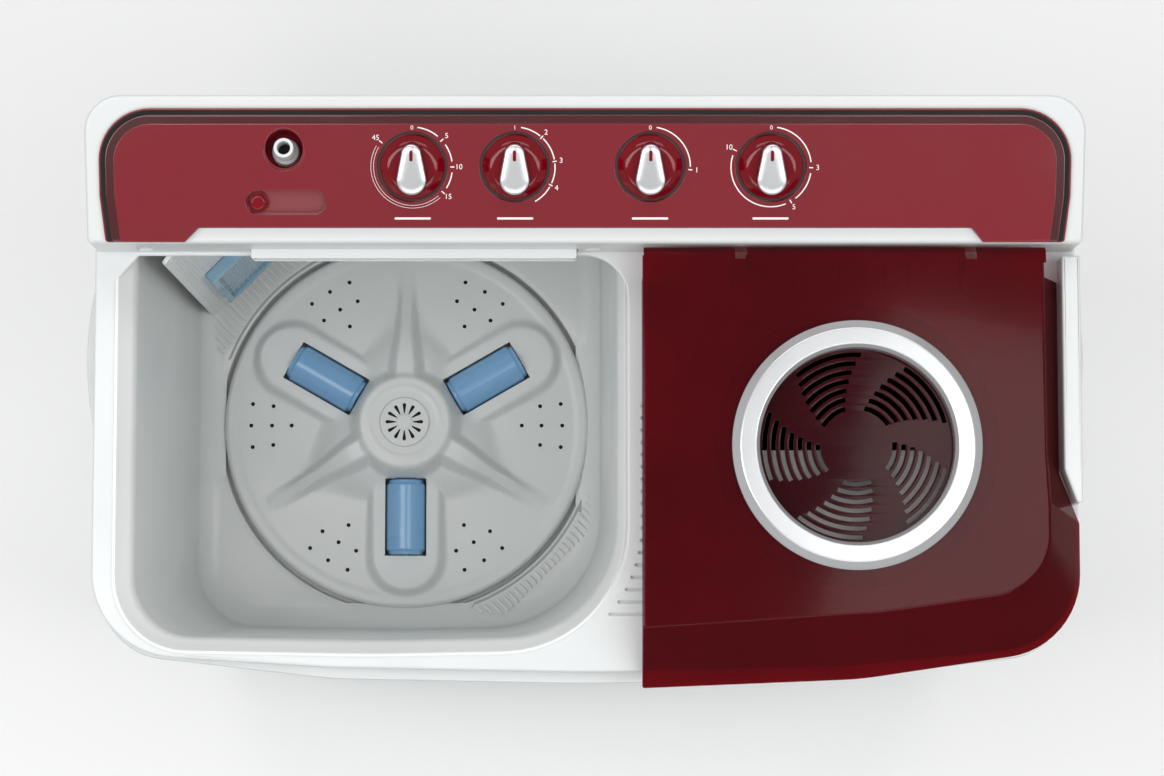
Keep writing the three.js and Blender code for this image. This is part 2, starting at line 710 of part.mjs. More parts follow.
// The belt's loop at a distance outside both pulleys.
function beltPlan(out) {
  const big = gearboxPulleyRadius + out;
  const small = motorPulleyRadius + out;
  const lean = THREE.MathUtils.radToDeg(Math.asin((big - small) / (washMotorCentre[1] - washCentre[1])));
  const points = [];
  for (let step = 0; step <= 6; step++) {
    points.push(new THREE.Vector2(...around(washMotorCentre, small, lean + (180 - 2 * lean) * step / 6)));
  }
  for (let step = 0; step <= 20; step++) {
    points.push(new THREE.Vector2(...around(washCentre, big, 180 - lean + (180 + 2 * lean) * step / 20)));
  }
  return points;
}

function addDrain() {
  const top = tubFloor - wall - gap;
  add("drain_valve_body", turnedRing([
    [6, 438], [28, 438], [28, 482], [13, 482], [13, top], [10, top], [10, 478], [24, 478],
    [24, 442], [6, 442],
  ], 14, drainPlace), greyPlastic());
  add("drain_plunger", turned([[0, 443], [22, 443], [22, 449], [5, 453], [5, 470], [0, 470]], 14, drainPlace),
    blackRubber());
}

// ---------------------------------------------------------------- spin side

function addSpinBasket() {
  const inner = basketRadius - 2.5;
  add("spin_basket", turned([
    [0, basketBottom + 3], [spinShaftRadius + gap, basketBottom + 3],
    [spinShaftRadius + gap, basketBottom - 14], [28, basketBottom - 14],
    [basketRadius - 6, basketBottom], [basketRadius, basketTop], [103, basketTop + 4],
    [103, basketTop - 2], [inner, basketTop - 8], [inner - 6, basketBottom + 4], [34, basketBottom - 8],
    [22, basketBottom + 44], [0, basketBottom + 48],
  ], 32, spinCentre), greyPlastic());
  add("spin_shaft", post(spinShaftRadius, 180, basketBottom, spinCentre, 14), steel());
  add("brake_disc", turnedRing([
    [spinShaftRadius + gap, brakeDiscBottom], [brakeDiscRadius, brakeDiscBottom],
    [brakeDiscRadius, brakeDiscBottom + 16], [20, brakeDiscBottom + 16], [18, brakeDiscBottom + 30],
    [spinShaftRadius + gap, brakeDiscBottom + 30],
  ], 24, spinCentre), castMetal());
}

function addSpinDrive() {
  const plateLow = baseFloor + 92;
  const brakePivot = [spinCentre[0] + brakeDiscRadius + 14, spinCentre[1] - 46];
  const body = turned([
    [0, plateLow], [74, plateLow], [74, plateLow + 4], [66, plateLow + 8], [66, 226], [56, 238], [0, 238],
  ], 22, spinCentre);
  const [pivotX, pivotY] = brakePivot;
  const arm = block([spinCentre[0] + 40, pivotY - 8, 214], [pivotX + 8, pivotY + 8, 222]);
  const bore = post(spinShaftRadius + 0.8, 174, 250, spinCentre, 14);
  add("spin_motor", cut(join(body, arm, post(4, 216, 292, brakePivot, 12)), bore), castMetal());
  const lever = block([pivotX - 7, pivotY - 8, 264], [pivotX + 7, pivotY + 96, 274]);
  const shoe = block([spinCentre[0] + brakeDiscRadius + 2.2, spinCentre[1] - 12, 263],
    [pivotX, spinCentre[1] + 12, 275]);
  add("brake_lever", cut(join(lever, shoe), post(4.4, 250, 290, brakePivot, 16)), steel());
  springAngles.forEach((angle, i) => {
    const [x, y] = around(spinCentre, springCircle, angle);
    add(`suspension_spring_${i + 1}`, spring(x, y, baseFloor + gap, plateLow - gap), steel());
  });
  add("bellows_seal", turnedRing([
    [spinShaftRadius + 1, 440], [14, 440], [16, 452], [34, 458], [20, 464], [39, 474],
    [39, 478 + gap], [50, 478 + gap], [50, 482], [35, 482], [spinShaftRadius + 1, 460],
  ], 16, spinCentre), blackRubber());
}

// An open coil spring standing between two heights.
function spring(x, y, low, high) {
  const wire = 2;
  const coil = 12;
  const turns = 4;
  const points = [];
  const steps = turns * 8;
  for (let step = 0; step <= steps; step++) {
    const angle = 2 * Math.PI * step / 8;
    const height = THREE.MathUtils.lerp(low + wire, high - wire, step / steps);
    points.push(new THREE.Vector3(x + coil * Math.cos(angle), y + coil * Math.sin(angle), height));
  }
  const section = new THREE.Shape(circle(wire - 0.2, [0, 0], 4));
  const path = new THREE.CatmullRomCurve3(points);
  return new THREE.ExtrudeGeometry(section, { extrudePath: path, steps, bevelEnabled: false });
}

function addCapacitor() {
  const foot = baseFloor + gap;
  const head = baseFloor + 70;
  const can = turned([[0, foot], [20, foot], [20, head - 2], [6, head], [0, head]], 20, [50, 150]);
  add("run_capacitor", can, castMetal());
}

// ---------------------------------------------------------------- lids of the spin side

// The lid in plan at its crest (share 1) and at its lower edge (share 0).
function lidPlan(share, inset) {
  const mix = (low, high) => THREE.MathUtils.lerp(low, high, share);
  const right = lidRight - inset;
  return rounded([
    [lidLeft + inset, 116, 0], [lidLeft + inset, mix(-244, -195) + inset, 0],
    [mix(230, 245), mix(-236.5, -182) + inset, 300],
    [mix(deckHalfWidth, 385.5) - inset, mix(-209, -162) + inset, mix(70, 54) - inset],
    [mix(deckHalfWidth, 385.5) - inset, mix(-106, -90), 8], [mix(right, 383.5 - inset), mix(-64, -50), 8],
    [mix(right, 382.5 - inset), 116, 0],
  ], 3);
}

function addSpinLid() {
  const skirtLow = deckTop + 4;
  const shoulder = lidTop - 4;
  const shell = skin([
    ring(lidPlan(1, wall + 1), lidTop - wall), ring(lidPlan(0.92, wall), shoulder - 1),
    ring(lidPlan(0, wall), skirtLow), ring(lidPlan(0, 0), skirtLow), ring(lidPlan(0.92, 0), shoulder),
    ring(lidPlan(1, 1.5), lidTop),
  ]);
  const openBack = block([lidLeft - 5, 98, skirtLow - 5], [lidRight + 5, 130, lidTop - wall]);
  const { y, z } = lidHinge;
  const underCrest = 0.03;
  const roll = [];
  for (const [radius, start, end] of [[lidHingeReach, 46, 0], [lidHingeReach - 3.3, 0, 42]]) {
    for (let step = 0; step <= 3; step++) roll.push(around([y, z], radius, start + (end - start) * step / 3));
  }
  roll.push([y, lidTop - wall], [y, lidTop - underCrest]);
  const barrel = drawnAcross(roll, lidLeft + 1, 385);
  const posts = [-1, 1].map((side) => spinCentre[0] + side * lidPostOffset);
  const notches = posts.map((x) => block([x - 5, y + 3, z - 12], [x + 5, y + 20, lidTop + 5]));
  const lugs = posts.map((x, i) => {
    const near = x + (i === 0 ? 1 : -1) * 4.2;
    const far = near + (i === 0 ? 1 : -1) * 5;
    const [x0, x1] = [Math.min(near, far), Math.max(near, far)];
    const ear = join(block([x0, y - 6.5, z], [x1, y + 6.5, lidTop - 1]), crossRod(6.5, x0, x1, y, z, 10));
    return cut(ear, crossRod(3.5, x0 - 1, x1 + 1, y, z, 10));
  });
  const well = post(95, lidTop - 20, lidTop + 10, lidRingCentre, 32);
  const lid = cut(shell, openBack, well);
  add("spin_lid", join(cut(join(lid, barrel), ...notches), ...lugs), redClear());
}

function addLidRing() {
  add("spin_lid_ring", turnedRing([
    [81, lidTop - 8], [94, lidTop - 8], [94, lidTop + gap], [104, lidTop + gap], [104, lidTop + 4],
    [97, lidTop + 10], [84, lidTop + 10], [81, lidTop + 6],
  ], 32, lidRingCentre), silverPlastic());
  const slots = [];
  for (let sector = 0; sector < 5; sector++) {
    for (let row = 0; row < 2; row++) {
      const radius = 38 + row * 20;
      slots.push(arcSlot(radius, 6, 55 + sector * 72 - 20 - row * 4, 40));
    }
  }
  const disc = slab(circle(90, [0, 0], 32), lidTop - 12, lidTop - 8 - gap, slots);
  add("lid_air_grille", disc.translate(...lidRingCentre, 0), redClear());
}

// A slot that follows an arc about the origin.
function arcSlot(radius, width, start, sweep) {
  const points = [];
  const steps = 4;
  for (let step = 0; step <= steps; step++) {
    points.push(new THREE.Vector2(...around([0, 0], radius + width, start + sweep * step / steps)));
  }
  for (let step = steps; step >= 0; step--) {
    points.push(new THREE.Vector2(...around([0, 0], radius, start + sweep * step / steps)));
  }
  return points;
}

function addInnerLid() {
  const low = deckTop + 0.5;
  const high = low + wall;
  const [x, y] = spinCentre;
  const disc = post(118, low, high, spinCentre, 32);
  const back = block([x - 97, y, low], [x + 97, 66, high]);
  const tab = block([x - 39, y - 127, low], [x + 39, y - 100, high]);
  const knuckles = [-1, 1].map((side) => {
    const middle = x + side * innerLidHingeOffset;
    const barrel = crossRod(4.5, middle - 10, middle + 10, innerLidHinge.y, innerLidHinge.z, 12);
    return join(barrel, block([middle - 10, 60, low], [middle + 10, innerLidHinge.y, high]));
  });
  const bores = [-1, 1].map((side) => {
    const middle = x + side * innerLidHingeOffset;
    return crossRod(2.8, middle - 11, middle + 11, innerLidHinge.y, innerLidHinge.z, 10);
  });
  add("spin_inner_lid", cut(join(disc, back, tab, ...knuckles), ...bores), greyPlastic());
}

addBase();
addCabinet();
addRearCover();
addBackFittings();
addDeck();
addWashTub();
addSpinTub();
addConsoleHousing();
addFascia();
addWaterPath();
addSlider();
addKnobs();
addSwitches();
addTubCovers();
addPulsator();
addWashDrive();
addDrain();
addSpinBasket();
addSpinDrive();
addCapacitor();
addSpinLid();
addLidRing();
addInnerLid();

export default machine;
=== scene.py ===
import json
import math
import bpy
from mathutils import Matrix, Vector


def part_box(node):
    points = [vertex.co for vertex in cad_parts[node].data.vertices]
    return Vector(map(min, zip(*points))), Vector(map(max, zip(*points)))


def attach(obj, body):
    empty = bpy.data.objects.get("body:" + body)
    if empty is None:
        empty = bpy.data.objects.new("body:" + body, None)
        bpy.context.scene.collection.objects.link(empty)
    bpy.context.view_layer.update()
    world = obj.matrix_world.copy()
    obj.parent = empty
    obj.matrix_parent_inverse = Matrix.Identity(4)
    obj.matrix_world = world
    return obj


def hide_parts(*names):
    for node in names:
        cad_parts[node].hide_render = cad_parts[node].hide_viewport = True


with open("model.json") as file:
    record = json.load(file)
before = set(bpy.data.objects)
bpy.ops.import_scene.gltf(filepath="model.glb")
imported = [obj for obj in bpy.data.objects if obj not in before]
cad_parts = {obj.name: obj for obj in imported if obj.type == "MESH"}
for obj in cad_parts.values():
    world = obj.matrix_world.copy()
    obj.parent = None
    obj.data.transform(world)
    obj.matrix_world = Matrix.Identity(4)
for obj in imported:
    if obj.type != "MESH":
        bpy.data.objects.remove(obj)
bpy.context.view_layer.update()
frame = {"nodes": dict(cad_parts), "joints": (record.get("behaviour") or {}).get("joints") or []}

# ---- Camera, lamps and floor ----
# The machine is looked down on from well above its front edge, through a long lens.
# Large soft lamps stand overhead and to both sides, over a plain pale floor.
mm = 0.001
deck_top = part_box("console_housing")[0].z - 0.3 * mm
eye_across, eye_front, eye_rise = -2.5 * mm, -255 * mm, 2800 * mm
eye = Vector((eye_across, eye_front, deck_top + eye_rise))
aim = Vector((eye_across, 9 * mm, deck_top))
camera_data = bpy.data.cameras.new("overhead_camera")
camera_data.lens = 102.8
camera_data.sensor_width = 36
camera_data.clip_end = 50
camera = bpy.data.objects.new("overhead_camera", camera_data)
camera.location = eye
camera.rotation_euler = (aim - eye).to_track_quat("-Z", "Y").to_euler()
bpy.context.collection.objects.link(camera)
bpy.context.scene.camera = camera
bpy.context.scene.view_settings.view_transform = "Standard"


lamp_target = Vector((0, 0, 0.6))


def add_lamp(name, place, size, power):
    lamp_data = bpy.data.lights.new(name, "AREA")
    lamp_data.shape = "RECTANGLE"
    lamp_data.size, lamp_data.size_y = size
    lamp_data.energy = power
    lamp = bpy.data.objects.new(name, lamp_data)
    lamp.location = place
    lamp.rotation_euler = (lamp_target - Vector(place)).to_track_quat("-Z", "Y").to_euler()
    bpy.context.collection.objects.link(lamp)


add_lamp("back_softbox", (0.0, 2.4, 3.4), (4.0, 1.4), 38)
add_lamp("left_high_softbox", (-1.7, -0.2, 3.6), (1.2, 3.0), 42)
add_lamp("right_high_softbox", (1.7, -0.4, 3.6), (1.2, 3.0), 36)
add_lamp("front_softbox", (0.0, -2.4, 3.2), (4.0, 1.2), 36)
world = bpy.data.worlds.new("studio")
world.use_nodes = True
world.node_tree.nodes["Background"].inputs["Color"].default_value = (1, 1, 1, 1)
world.node_tree.nodes["Background"].inputs["Strength"].default_value = 0.36
bpy.context.scene.world = world


def clear_selection():
    """Leaves nothing selected."""
    for thing in bpy.context.selected_objects:
        thing.select_set(False)


def pick(piece):
    """Leaves only this piece selected and active."""
    clear_selection()
    piece.select_set(True)
    bpy.context.view_layer.objects.active = piece


def linear(hex_colour):
    """The linear colour of an sRGB hex value."""
    channels = [int(hex_colour[i:i + 2], 16) / 255 for i in (1, 3, 5)]
    return [c / 12.92 if c <= 0.04045 else ((c + 0.055) / 1.055) ** 2.4 for c in channels] + [1.0]


def add_node(material, kind, settings=None, links=None):
    """Adds a shader node, sets its inputs or properties, and feeds its inputs from sockets."""
    node = material.node_tree.nodes.new(kind)
    for key, value in (settings or {}).items():
        if isinstance(key, str) and hasattr(node, key):
            setattr(node, key, value)
        else:
            node.inputs[key].default_value = value
    for key, socket in (links or {}).items():
        material.node_tree.links.new(socket, node.inputs[key])
    return node


clear_selection()
bpy.ops.mesh.primitive_plane_add(size=30, location=(0, 0, 0))
floor = bpy.context.object
floor.name = "studio_floor"
floor_paint = bpy.data.materials.new("matt_floor_paint")
floor_paint.use_nodes = True
floor_shader = floor_paint.node_tree.nodes["Principled BSDF"]
floor_shader.inputs["Base Color"].default_value = linear("#F6F6F6")
floor_shader.inputs["Roughness"].default_value = 0.9
floor.data.materials.append(floor_paint)


# ---- Top deck ----
# The deck is one satin white ABS moulding that caps the cabinet, with both tub openings in it.
# A raised rail stands at its right edge, and pressed grooves drain the land between the tubs.
plastic_ior = 1.53
spin_centre = Vector(next(j for j in frame["joints"] if j["name"] == "spin_basket_spin")["pos_m"]).xy
wash_centre = Vector(next(j for j in frame["joints"] if j["name"] == "pulsator_spin")["pos_m"]).xy
console_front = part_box("console_housing")[0].y
machine_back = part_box("console_housing")[1].y
deck_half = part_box("top_deck")[1].x


def grained(name, colour, shade, roughness, grain, relief, coat=0.0, wear=0.3, metallic=0.0):
    """A finish whose colour drifts faintly, with a fine grain in its skin and edges rubbed pale."""
    edge_starts, edge_full = 0.54, 0.66
    material = bpy.data.materials.new(name)
    material.use_nodes = True
    shader = material.node_tree.nodes["Principled BSDF"]
    place = add_node(material, "ShaderNodeTexCoord").outputs["Object"]
    drift = add_node(material, "ShaderNodeTexNoise", {"Scale": 11.0, "Detail": 3.0}, {"Vector": place})
    skin = add_node(material, "ShaderNodeTexNoise", {"Scale": 1 / grain, "Detail": 2.0}, {"Vector": place})
    tint = add_node(material, "ShaderNodeMix", {"data_type": "RGBA", 6: linear(colour), 7: linear(shade)},
                    {0: drift.outputs[0]})
    edge = add_node(material, "ShaderNodeNewGeometry").outputs["Pointiness"]
    rubbed_range = {"From Min": edge_starts, "From Max": edge_full, "To Max": wear}
    rubbed = add_node(material, "ShaderNodeMapRange", rubbed_range, {"Value": edge})
    worn = add_node(material, "ShaderNodeMix", {"data_type": "RGBA", 7: linear("#F4F4F2")},
                    {0: rubbed.outputs[0], 6: tint.outputs[2]})
    gloss_range = {"From Min": 0.3, "From Max": 0.7, "To Min": roughness - 0.04, "To Max": roughness + 0.05}
    gloss = add_node(material, "ShaderNodeMapRange", gloss_range, {"Value": drift.outputs[0]})
    bump = add_node(material, "ShaderNodeBump", {"Strength": 0.35, "Distance": relief},
                    {"Height": skin.outputs[0]})
    links = material.node_tree.links
    links.new(worn.outputs[2], shader.inputs["Base Color"])
    links.new(gloss.outputs[0], shader.inputs["Roughness"])
    links.new(bump.outputs[0], shader.inputs["Normal"])
    shader.inputs["Metallic"].default_value = metallic
    if metallic < 1:
        shader.inputs["IOR"].default_value = plastic_ior
    shader.inputs["Coat Weight"].default_value = coat
    return material


def rounded(corners, steps=8):
    """An outline through (x, y, radius) corners in millimetres, each rounded by its radius, in metres."""
    points = []
    for i, (x, y, radius) in enumerate(corners):
        corner = Vector((x, y))
        back = (Vector(corners[i - 1][:2]) - corner).normalized()
        on = (Vector(corners[(i + 1) % len(corners)][:2]) - corner).normalized()
        if not radius:
            points.append(corner * mm)
            continue
        half = math.acos(max(-1.0, min(1.0, back.dot(on)))) / 2
        middle = corner + (back + on).normalized() * (radius / math.sin(half))
        start = corner + back * (radius / math.tan(half)) - middle
        turn = (math.pi - 2 * half) * math.copysign(1, on.x * back.y - on.y * back.x)
        for step in range(steps + 1):
            points.append((middle + Matrix.Rotation(turn * step / steps, 2) @ start) * mm)
    return points


def oblong(left, front, right, back, radius, steps=8, back_radius=None):
    """A rectangle in millimetres with rounded corners, as an outline in metres."""
    far = radius if back_radius is None else back_radius
    corners = [(left, front, radius), (right, front, radius), (right, back, far), (left, back, far)]
    return rounded(corners, steps)


def heading(angle):
    """The flat unit vector at an angle in radians."""
    return Vector((math.cos(angle), math.sin(angle)))


def circle(centre, radius, steps=64):
    return [Vector(centre) + radius * heading(2 * math.pi * i / steps) for i in range(steps)]


def winding(outline):
    """Above zero where the outline runs anticlockwise."""
    return sum(a.x * b.y - b.x * a.y for a, b in zip(outline, outline[1:] + outline[:1]))


def plate(name, outlines, low, high, edge=0.0, holes=(), edge_steps=3):
    """A flat plate between two heights, with its edges rounded, from closed outlines and holes."""
    curve = bpy.data.curves.new(name, "CURVE")
    curve.dimensions = "2D"
    curve.fill_mode = "BOTH"
    curve.extrude = (high - low) / 2 - edge
    curve.bevel_depth = edge
    curve.bevel_resolution = edge_steps
    curve.offset = -edge
    turned_right = [o if winding(o) > 0 else o[::-1] for o in outlines]
    turned_left = [h if winding(h) < 0 else h[::-1] for h in holes]
    for outline in turned_right + turned_left:
        spline = curve.splines.new("POLY")
        spline.points.add(len(outline) - 1)
        for point, spot in zip(spline.points, outline):
            point.co = (spot.x, spot.y, 0, 1)
        spline.use_cyclic_u = True
    piece = bpy.data.objects.new(name, curve)
    bpy.context.collection.objects.link(piece)
    pick(piece)
    bpy.ops.object.convert(target="MESH")
    piece = bpy.context.object
    piece.location.z = (low + high) / 2
    return tidy_mesh(piece)


def tidy_mesh(piece):
    """Applies the place, closes doubled seams, turns the faces out and hands the piece back."""
    pick(piece)
    bpy.ops.object.transform_apply(location=True, rotation=True, scale=True)
    bpy.ops.object.mode_set(mode="EDIT")
    bpy.ops.mesh.select_all(action="SELECT")
    bpy.ops.mesh.remove_doubles(threshold=0.00001)
    bpy.ops.mesh.normals_make_consistent(inside=False)
    bpy.ops.object.mode_set(mode="OBJECT")
    return piece


def carve(piece, cutter, operation="DIFFERENCE", solver="MANIFOLD"):
    """Cuts or joins one closed solid with another and removes the other."""
    pick(piece)
    tool = piece.modifiers.new("carve", "BOOLEAN")
    tool.operation = operation
    tool.object = cutter
    tool.solver = solver
    bpy.ops.object.modifier_apply(modifier="carve")
    bpy.data.objects.remove(cutter)
    return piece


def join_all(pieces):
    """Makes one piece of several."""
    clear_selection()
    for piece in pieces:
        piece.select_set(True)
    bpy.context.view_layer.objects.active = pieces[0]
    bpy.ops.object.join()
    return pieces[0]


def settle(piece, name, material, body, slot, *nodes, angle=35):
    """Names a finished piece, shades it, and puts it on its body in place of its nodes."""
    pick(piece)
    bpy.ops.object.shade_smooth_by_angle(angle=math.radians(angle))
    even = piece.modifiers.new("even_normals", "WEIGHTED_NORMAL")
    even.keep_sharp = True
    bpy.ops.object.modifier_apply(modifier="even_normals")
    piece.name = name
    piece.data.materials.clear()
    piece.data.materials.append(material)
    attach(piece, body)
    if nodes:
        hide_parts(*nodes)
    return piece


# Satin white ABS: a cool white with a soft sheen and a thin clear skin on top.
white_abs = grained("satin_white_abs", "#D9DCDC", "#D2D5D5", 0.34, 0.9 * mm, 0.02 * mm, 0.15)

deck_side = deck_half / mm
deck_outline = rounded([
    (-deck_side, -214, 72), (-215, -226.5, 400), (0, -230.5, 1200), (215, -226.5, 400),
    (deck_side, -207, 72), (deck_side, machine_back / mm - 1, 28), (-deck_side, machine_back / mm - 1, 28),
], 12)
lip_outline = rounded([(-397.6, -213, 63), (-181, -217, 1500), (35.5, -213, 106), (35.5, 122, 36),
                       (-379, 122, 3), (-397.6, 100, 3)], 12)
spin_mouth = 108 * mm
deck_thickness, skirt_depth, skirt_inside = 6 * mm, 43 * mm, 0.992
deck = plate("deck", [deck_outline], deck_top - deck_thickness, deck_top, 2.5 * mm,
             [lip_outline, circle(spin_centre, spin_mouth, 96)], 4)
skirt = plate("deck_skirt", [deck_outline], deck_top - skirt_depth, deck_top - 2.6 * mm, 0.4 * mm,
              [[p * skirt_inside for p in deck_outline]], 1)
carve(deck, skirt, "UNION")

# The grooves start where the wash opening's round corner lets them and grow longer to the front.
groove_pitch = 10.36 * mm
groove_first = -6 * mm
groove_half = 1.5
groove_depth = 2.4 * mm
groove_right = [75, 75, 75, 75, 75, 75, 76, 77, 79, 81, 85, 90, 96, 102, 111, 121, 133, 149]
corner_middle = Vector((-70, -107)) * mm
corner_clearance = 117 * mm
groove_straight = 47 * mm
groove_bars = []
for row, right in enumerate(groove_right):
    y = groove_first - row * groove_pitch
    drop = min(0.0, y - corner_middle.y)
    left = groove_straight
    if drop < 0:
        left = corner_middle.x + math.sqrt(corner_clearance ** 2 - drop ** 2)
    groove_bars.append(oblong(left / mm, y / mm - groove_half, right, y / mm + groove_half, 1.4, 3))
carve(deck, plate("deck_grooves", groove_bars, deck_top - groove_depth, deck_top + 2 * mm))
settle(deck, "deck_panel", white_abs, "machine", "white_body", "top_deck")

rail_outline = rounded([(400.5, -62, 10), (deck_side, -104, 3), (deck_side, 118, 2), (400.5, 118, 2)])
rail = plate("deck_rail", [rail_outline], deck_top - 2 * mm, deck_top + 31 * mm, 2.5 * mm, edge_steps=4)
settle(rail, "deck_side_rail", white_abs, "machine", "white_body")


# ---- Wash tub ----
# The wash tub is a grey-white polypropylene moulding. Its rolled lip sits in the deck's opening,
# and its walls lean in a little to a floor with a round dish for the pulsator.
# Grey-white polypropylene: a softer, greyer white than the deck, with a broad waxy sheen.
grey_pp = grained("grey_white_polypropylene", "#E4E6E5", "#D9DCDB", 0.36, 1.1 * mm, 0.03 * mm, 0.1)
tub_floor = 502 * mm
dish_floor = 490 * mm
tub_steps = 256


def reach_of(outline, centre, angle):
    """How far an outline lies from a centre in one direction."""
    way = heading(angle)
    best = 0.0
    for a, b in zip(outline, outline[1:] + outline[:1]):
        side = b - a
        cross = way.x * side.y - way.y * side.x
        if abs(cross) < 1e-12:
            continue
        gap = a - centre
        along = (gap.x * side.y - gap.y * side.x) / cross
        share = (gap.x * way.y - gap.y * way.x) / cross
        if along > 0 and -1e-6 <= share <= 1 + 1e-6:
            best = max(best, along)
    return best


def skin_over(name, rings, close_first=False, close_last=False, loop=False):
    """A skin over closed rings of equal point count, its ends closed with flat faces where asked."""
    count = len(rings[0])
    verts = [tuple(p) for ring in rings for p in ring]
    faces = []
    strips = len(rings) if loop else len(rings) - 1
    for level in range(strips):
        low, high = level * count, ((level + 1) % len(rings)) * count
        faces += [(low + i, low + (i + 1) % count, high + (i + 1) % count, high + i) for i in range(count)]
    if close_first:
        faces.append(tuple(range(count))[::-1])
    if close_last:
        faces.append(tuple(range((len(rings) - 1) * count, len(rings) * count)))
    mesh = bpy.data.meshes.new(name)
    mesh.from_pydata(verts, [], faces)
    piece = bpy.data.objects.new(name, mesh)
    bpy.context.collection.objects.link(piece)
    return piece


def tub_corners(share, grow=0.0):
    """The tub's plan from its floor (share 0) to just under its lip (share 1)."""
    def mix(low, high):
        return low + (high - low) * share
    left, right = mix(-373, -385) - grow, mix(18, 30) + grow
    front, back = mix(-185, -203) - grow, mix(205, 209) + grow
    return [(left, front, mix(62, 54) + grow), ((left + right) / 2, front - 3.5, 1500),
            (right, front, mix(112, 100) + grow), (right, back, 40 + grow), (left, back, 40 + grow)]


def tub_ring(outline, height):
    """An outline at one height, as points spread evenly by angle round the wash tub's centre."""
    ring = []
    for i in range(tub_steps):
        angle = 2 * math.pi * i / tub_steps
        reach = reach_of(outline, wash_centre, angle)
        x = wash_centre.x + reach * math.cos(angle)
        y = wash_centre.y + reach * math.sin(angle)
        ring.append((x, y, height))
    return ring


def round_ring(centre, radius, height, steps):
    """A level circle of points."""
    return [(centre.x + radius * math.cos(2 * math.pi * i / steps),
             centre.y + radius * math.sin(2 * math.pi * i / steps), height) for i in range(steps)]


def thicken(piece, thickness, turn_faces):
    """Turns a skin's faces with a mesh operator and gives it a wall behind them."""
    pick(piece)
    bpy.ops.object.mode_set(mode="EDIT")
    bpy.ops.mesh.select_all(action="SELECT")
    turn_faces()
    bpy.ops.object.mode_set(mode="OBJECT")
    wall = piece.modifiers.new("wall", "SOLIDIFY")
    wall.thickness = thickness
    wall.offset = -1
    bpy.ops.object.modifier_apply(modifier="wall")


# The lip starts under the deck's edge, rolls over and runs down into the wall.
# At the back it passes under the console.
back_lip = [(-397.6, -213, 63), (-181, -217, 1500), (35.5, -213, 106), (35.5, 212, 36), (-397.6, 212, 36)]
rings = []
lip_roll = 9
for step in range(7):
    turn = math.pi / 2 * step / 6
    inset = 0.4 + 12.2 * (1 - math.cos(turn)) if step else -2.0
    drop = 1.2 + lip_roll * (1 - math.cos(turn)) * 0.9 + lip_roll * 0.5 * turn if step else 3.6
    outer = []
    for x, y, radius in back_lip:
        across = inset if x < -200 else -inset * 0.45 if x > 0 else 0
        along = inset * 0.86 if y < 0 else -inset * 0.3
        outer.append((x + across, y + along, max(2, radius - inset * 0.8)))
    rings.append(tub_ring(rounded(outer, 12), deck_top - drop * mm))
for share in (0.94, 0.8, 0.6, 0.4, 0.25, 0.12):
    height = tub_floor + (deck_top - tub_floor) * share
    rings.append(tub_ring(rounded(tub_corners(share), 12), height))
fillet = 24
for step in range(1, 7):
    turn = math.pi / 2 * step / 6
    inward = fillet * (1 - math.cos(turn))
    height = tub_floor + (fillet * (1 - math.sin(turn))) * mm
    rings.append(tub_ring(rounded(tub_corners(0.02 * (6 - step), -inward), 12), height))
dish_profile = [(186, tub_floor), (182.5, tub_floor - 1.5 * mm), (181.5, dish_floor + 3 * mm),
                (178, dish_floor), (10, dish_floor)]
for radius, height in dish_profile:
    rings.append(round_ring(wash_centre, radius * mm, height, tub_steps))
tub = skin_over("tub", rings)
thicken(tub, 2.6 * mm, bpy.ops.mesh.flip_normals)

# Short slanting ribs are moulded on the floor round the dish, all along one diagonal.
floor_edge = rounded(tub_corners(0.0, -14), 12)
tick_way = heading(math.radians(45))
tick_start = 189 * mm
ticks = []
for start in (190, 10):
    for step in range(15):
        angle = math.radians(start + 5 * step)
        reach = reach_of(floor_edge, wash_centre, angle) - 2 * mm
        middle = wash_centre + (reach + tick_start) / 2 * heading(angle)
        half = min(11 * mm, (reach - tick_start) / 2)
        if half < 4 * mm:
            continue
        aside = Vector((-tick_way.y, tick_way.x)) * 0.8 * mm
        along = tick_way * half
        ticks.append([middle - along - aside, middle + along - aside,
                      middle + along + aside, middle - along + aside])
tick_ribs = plate("floor_ticks", ticks, tub_floor - 1 * mm, tub_floor + 1.2 * mm)
tub = join_all([tub, tick_ribs])
settle(tub, "wash_tub_moulding", grey_pp, "machine", "grey_tub", "wash_tub", angle=50)


# ---- Pulsator ----
# The pulsator is a polypropylene moulding: a shallow dish that climbs to a hub, with three tapered
# vanes, three raised pads that hold the rollers, and groups of small drain holes between them.
pulsator_radius = 176 * mm
roller_angles = [30, 150, 270]
vane_angles = [90, 210, 330]
roller_place = 89 * mm
roller_height = dish_floor + 21.5 * mm


def ease(low, high, value):
    """A smooth step from 0 at the low value to 1 at the high one."""
    share = max(0.0, min(1.0, (value - low) / (high - low)))
    return share * share * (3 - 2 * share)


def soft_top(a, b, blend=4.0):
    """The higher of two heights, with the valley between them filled round."""
    share = max(0.0, min(1.0, 0.5 + 0.5 * (a - b) / blend))
    return b + (a - b) * share + blend * share * (1 - share)


def vane_height(reach, side):
    """A vane's height in millimetres, along and beside its crest, falling away far to its sides."""
    if reach < 20:
        return -50.0
    crest = 544 - 36 * ease(44, 168, reach) - 4 * ease(60, 120, reach)
    half = 13 - 5 * ease(50, 100, reach)
    ends = 40 * ease(150, 168, reach)
    flank = 18 * ease(0.55, 1.45, abs(side) / half) + 14 * ease(1.2, 4.5, abs(side) / half)
    return crest - ends - flank - 40 * ease(3.2, 6.0, abs(side) / half)


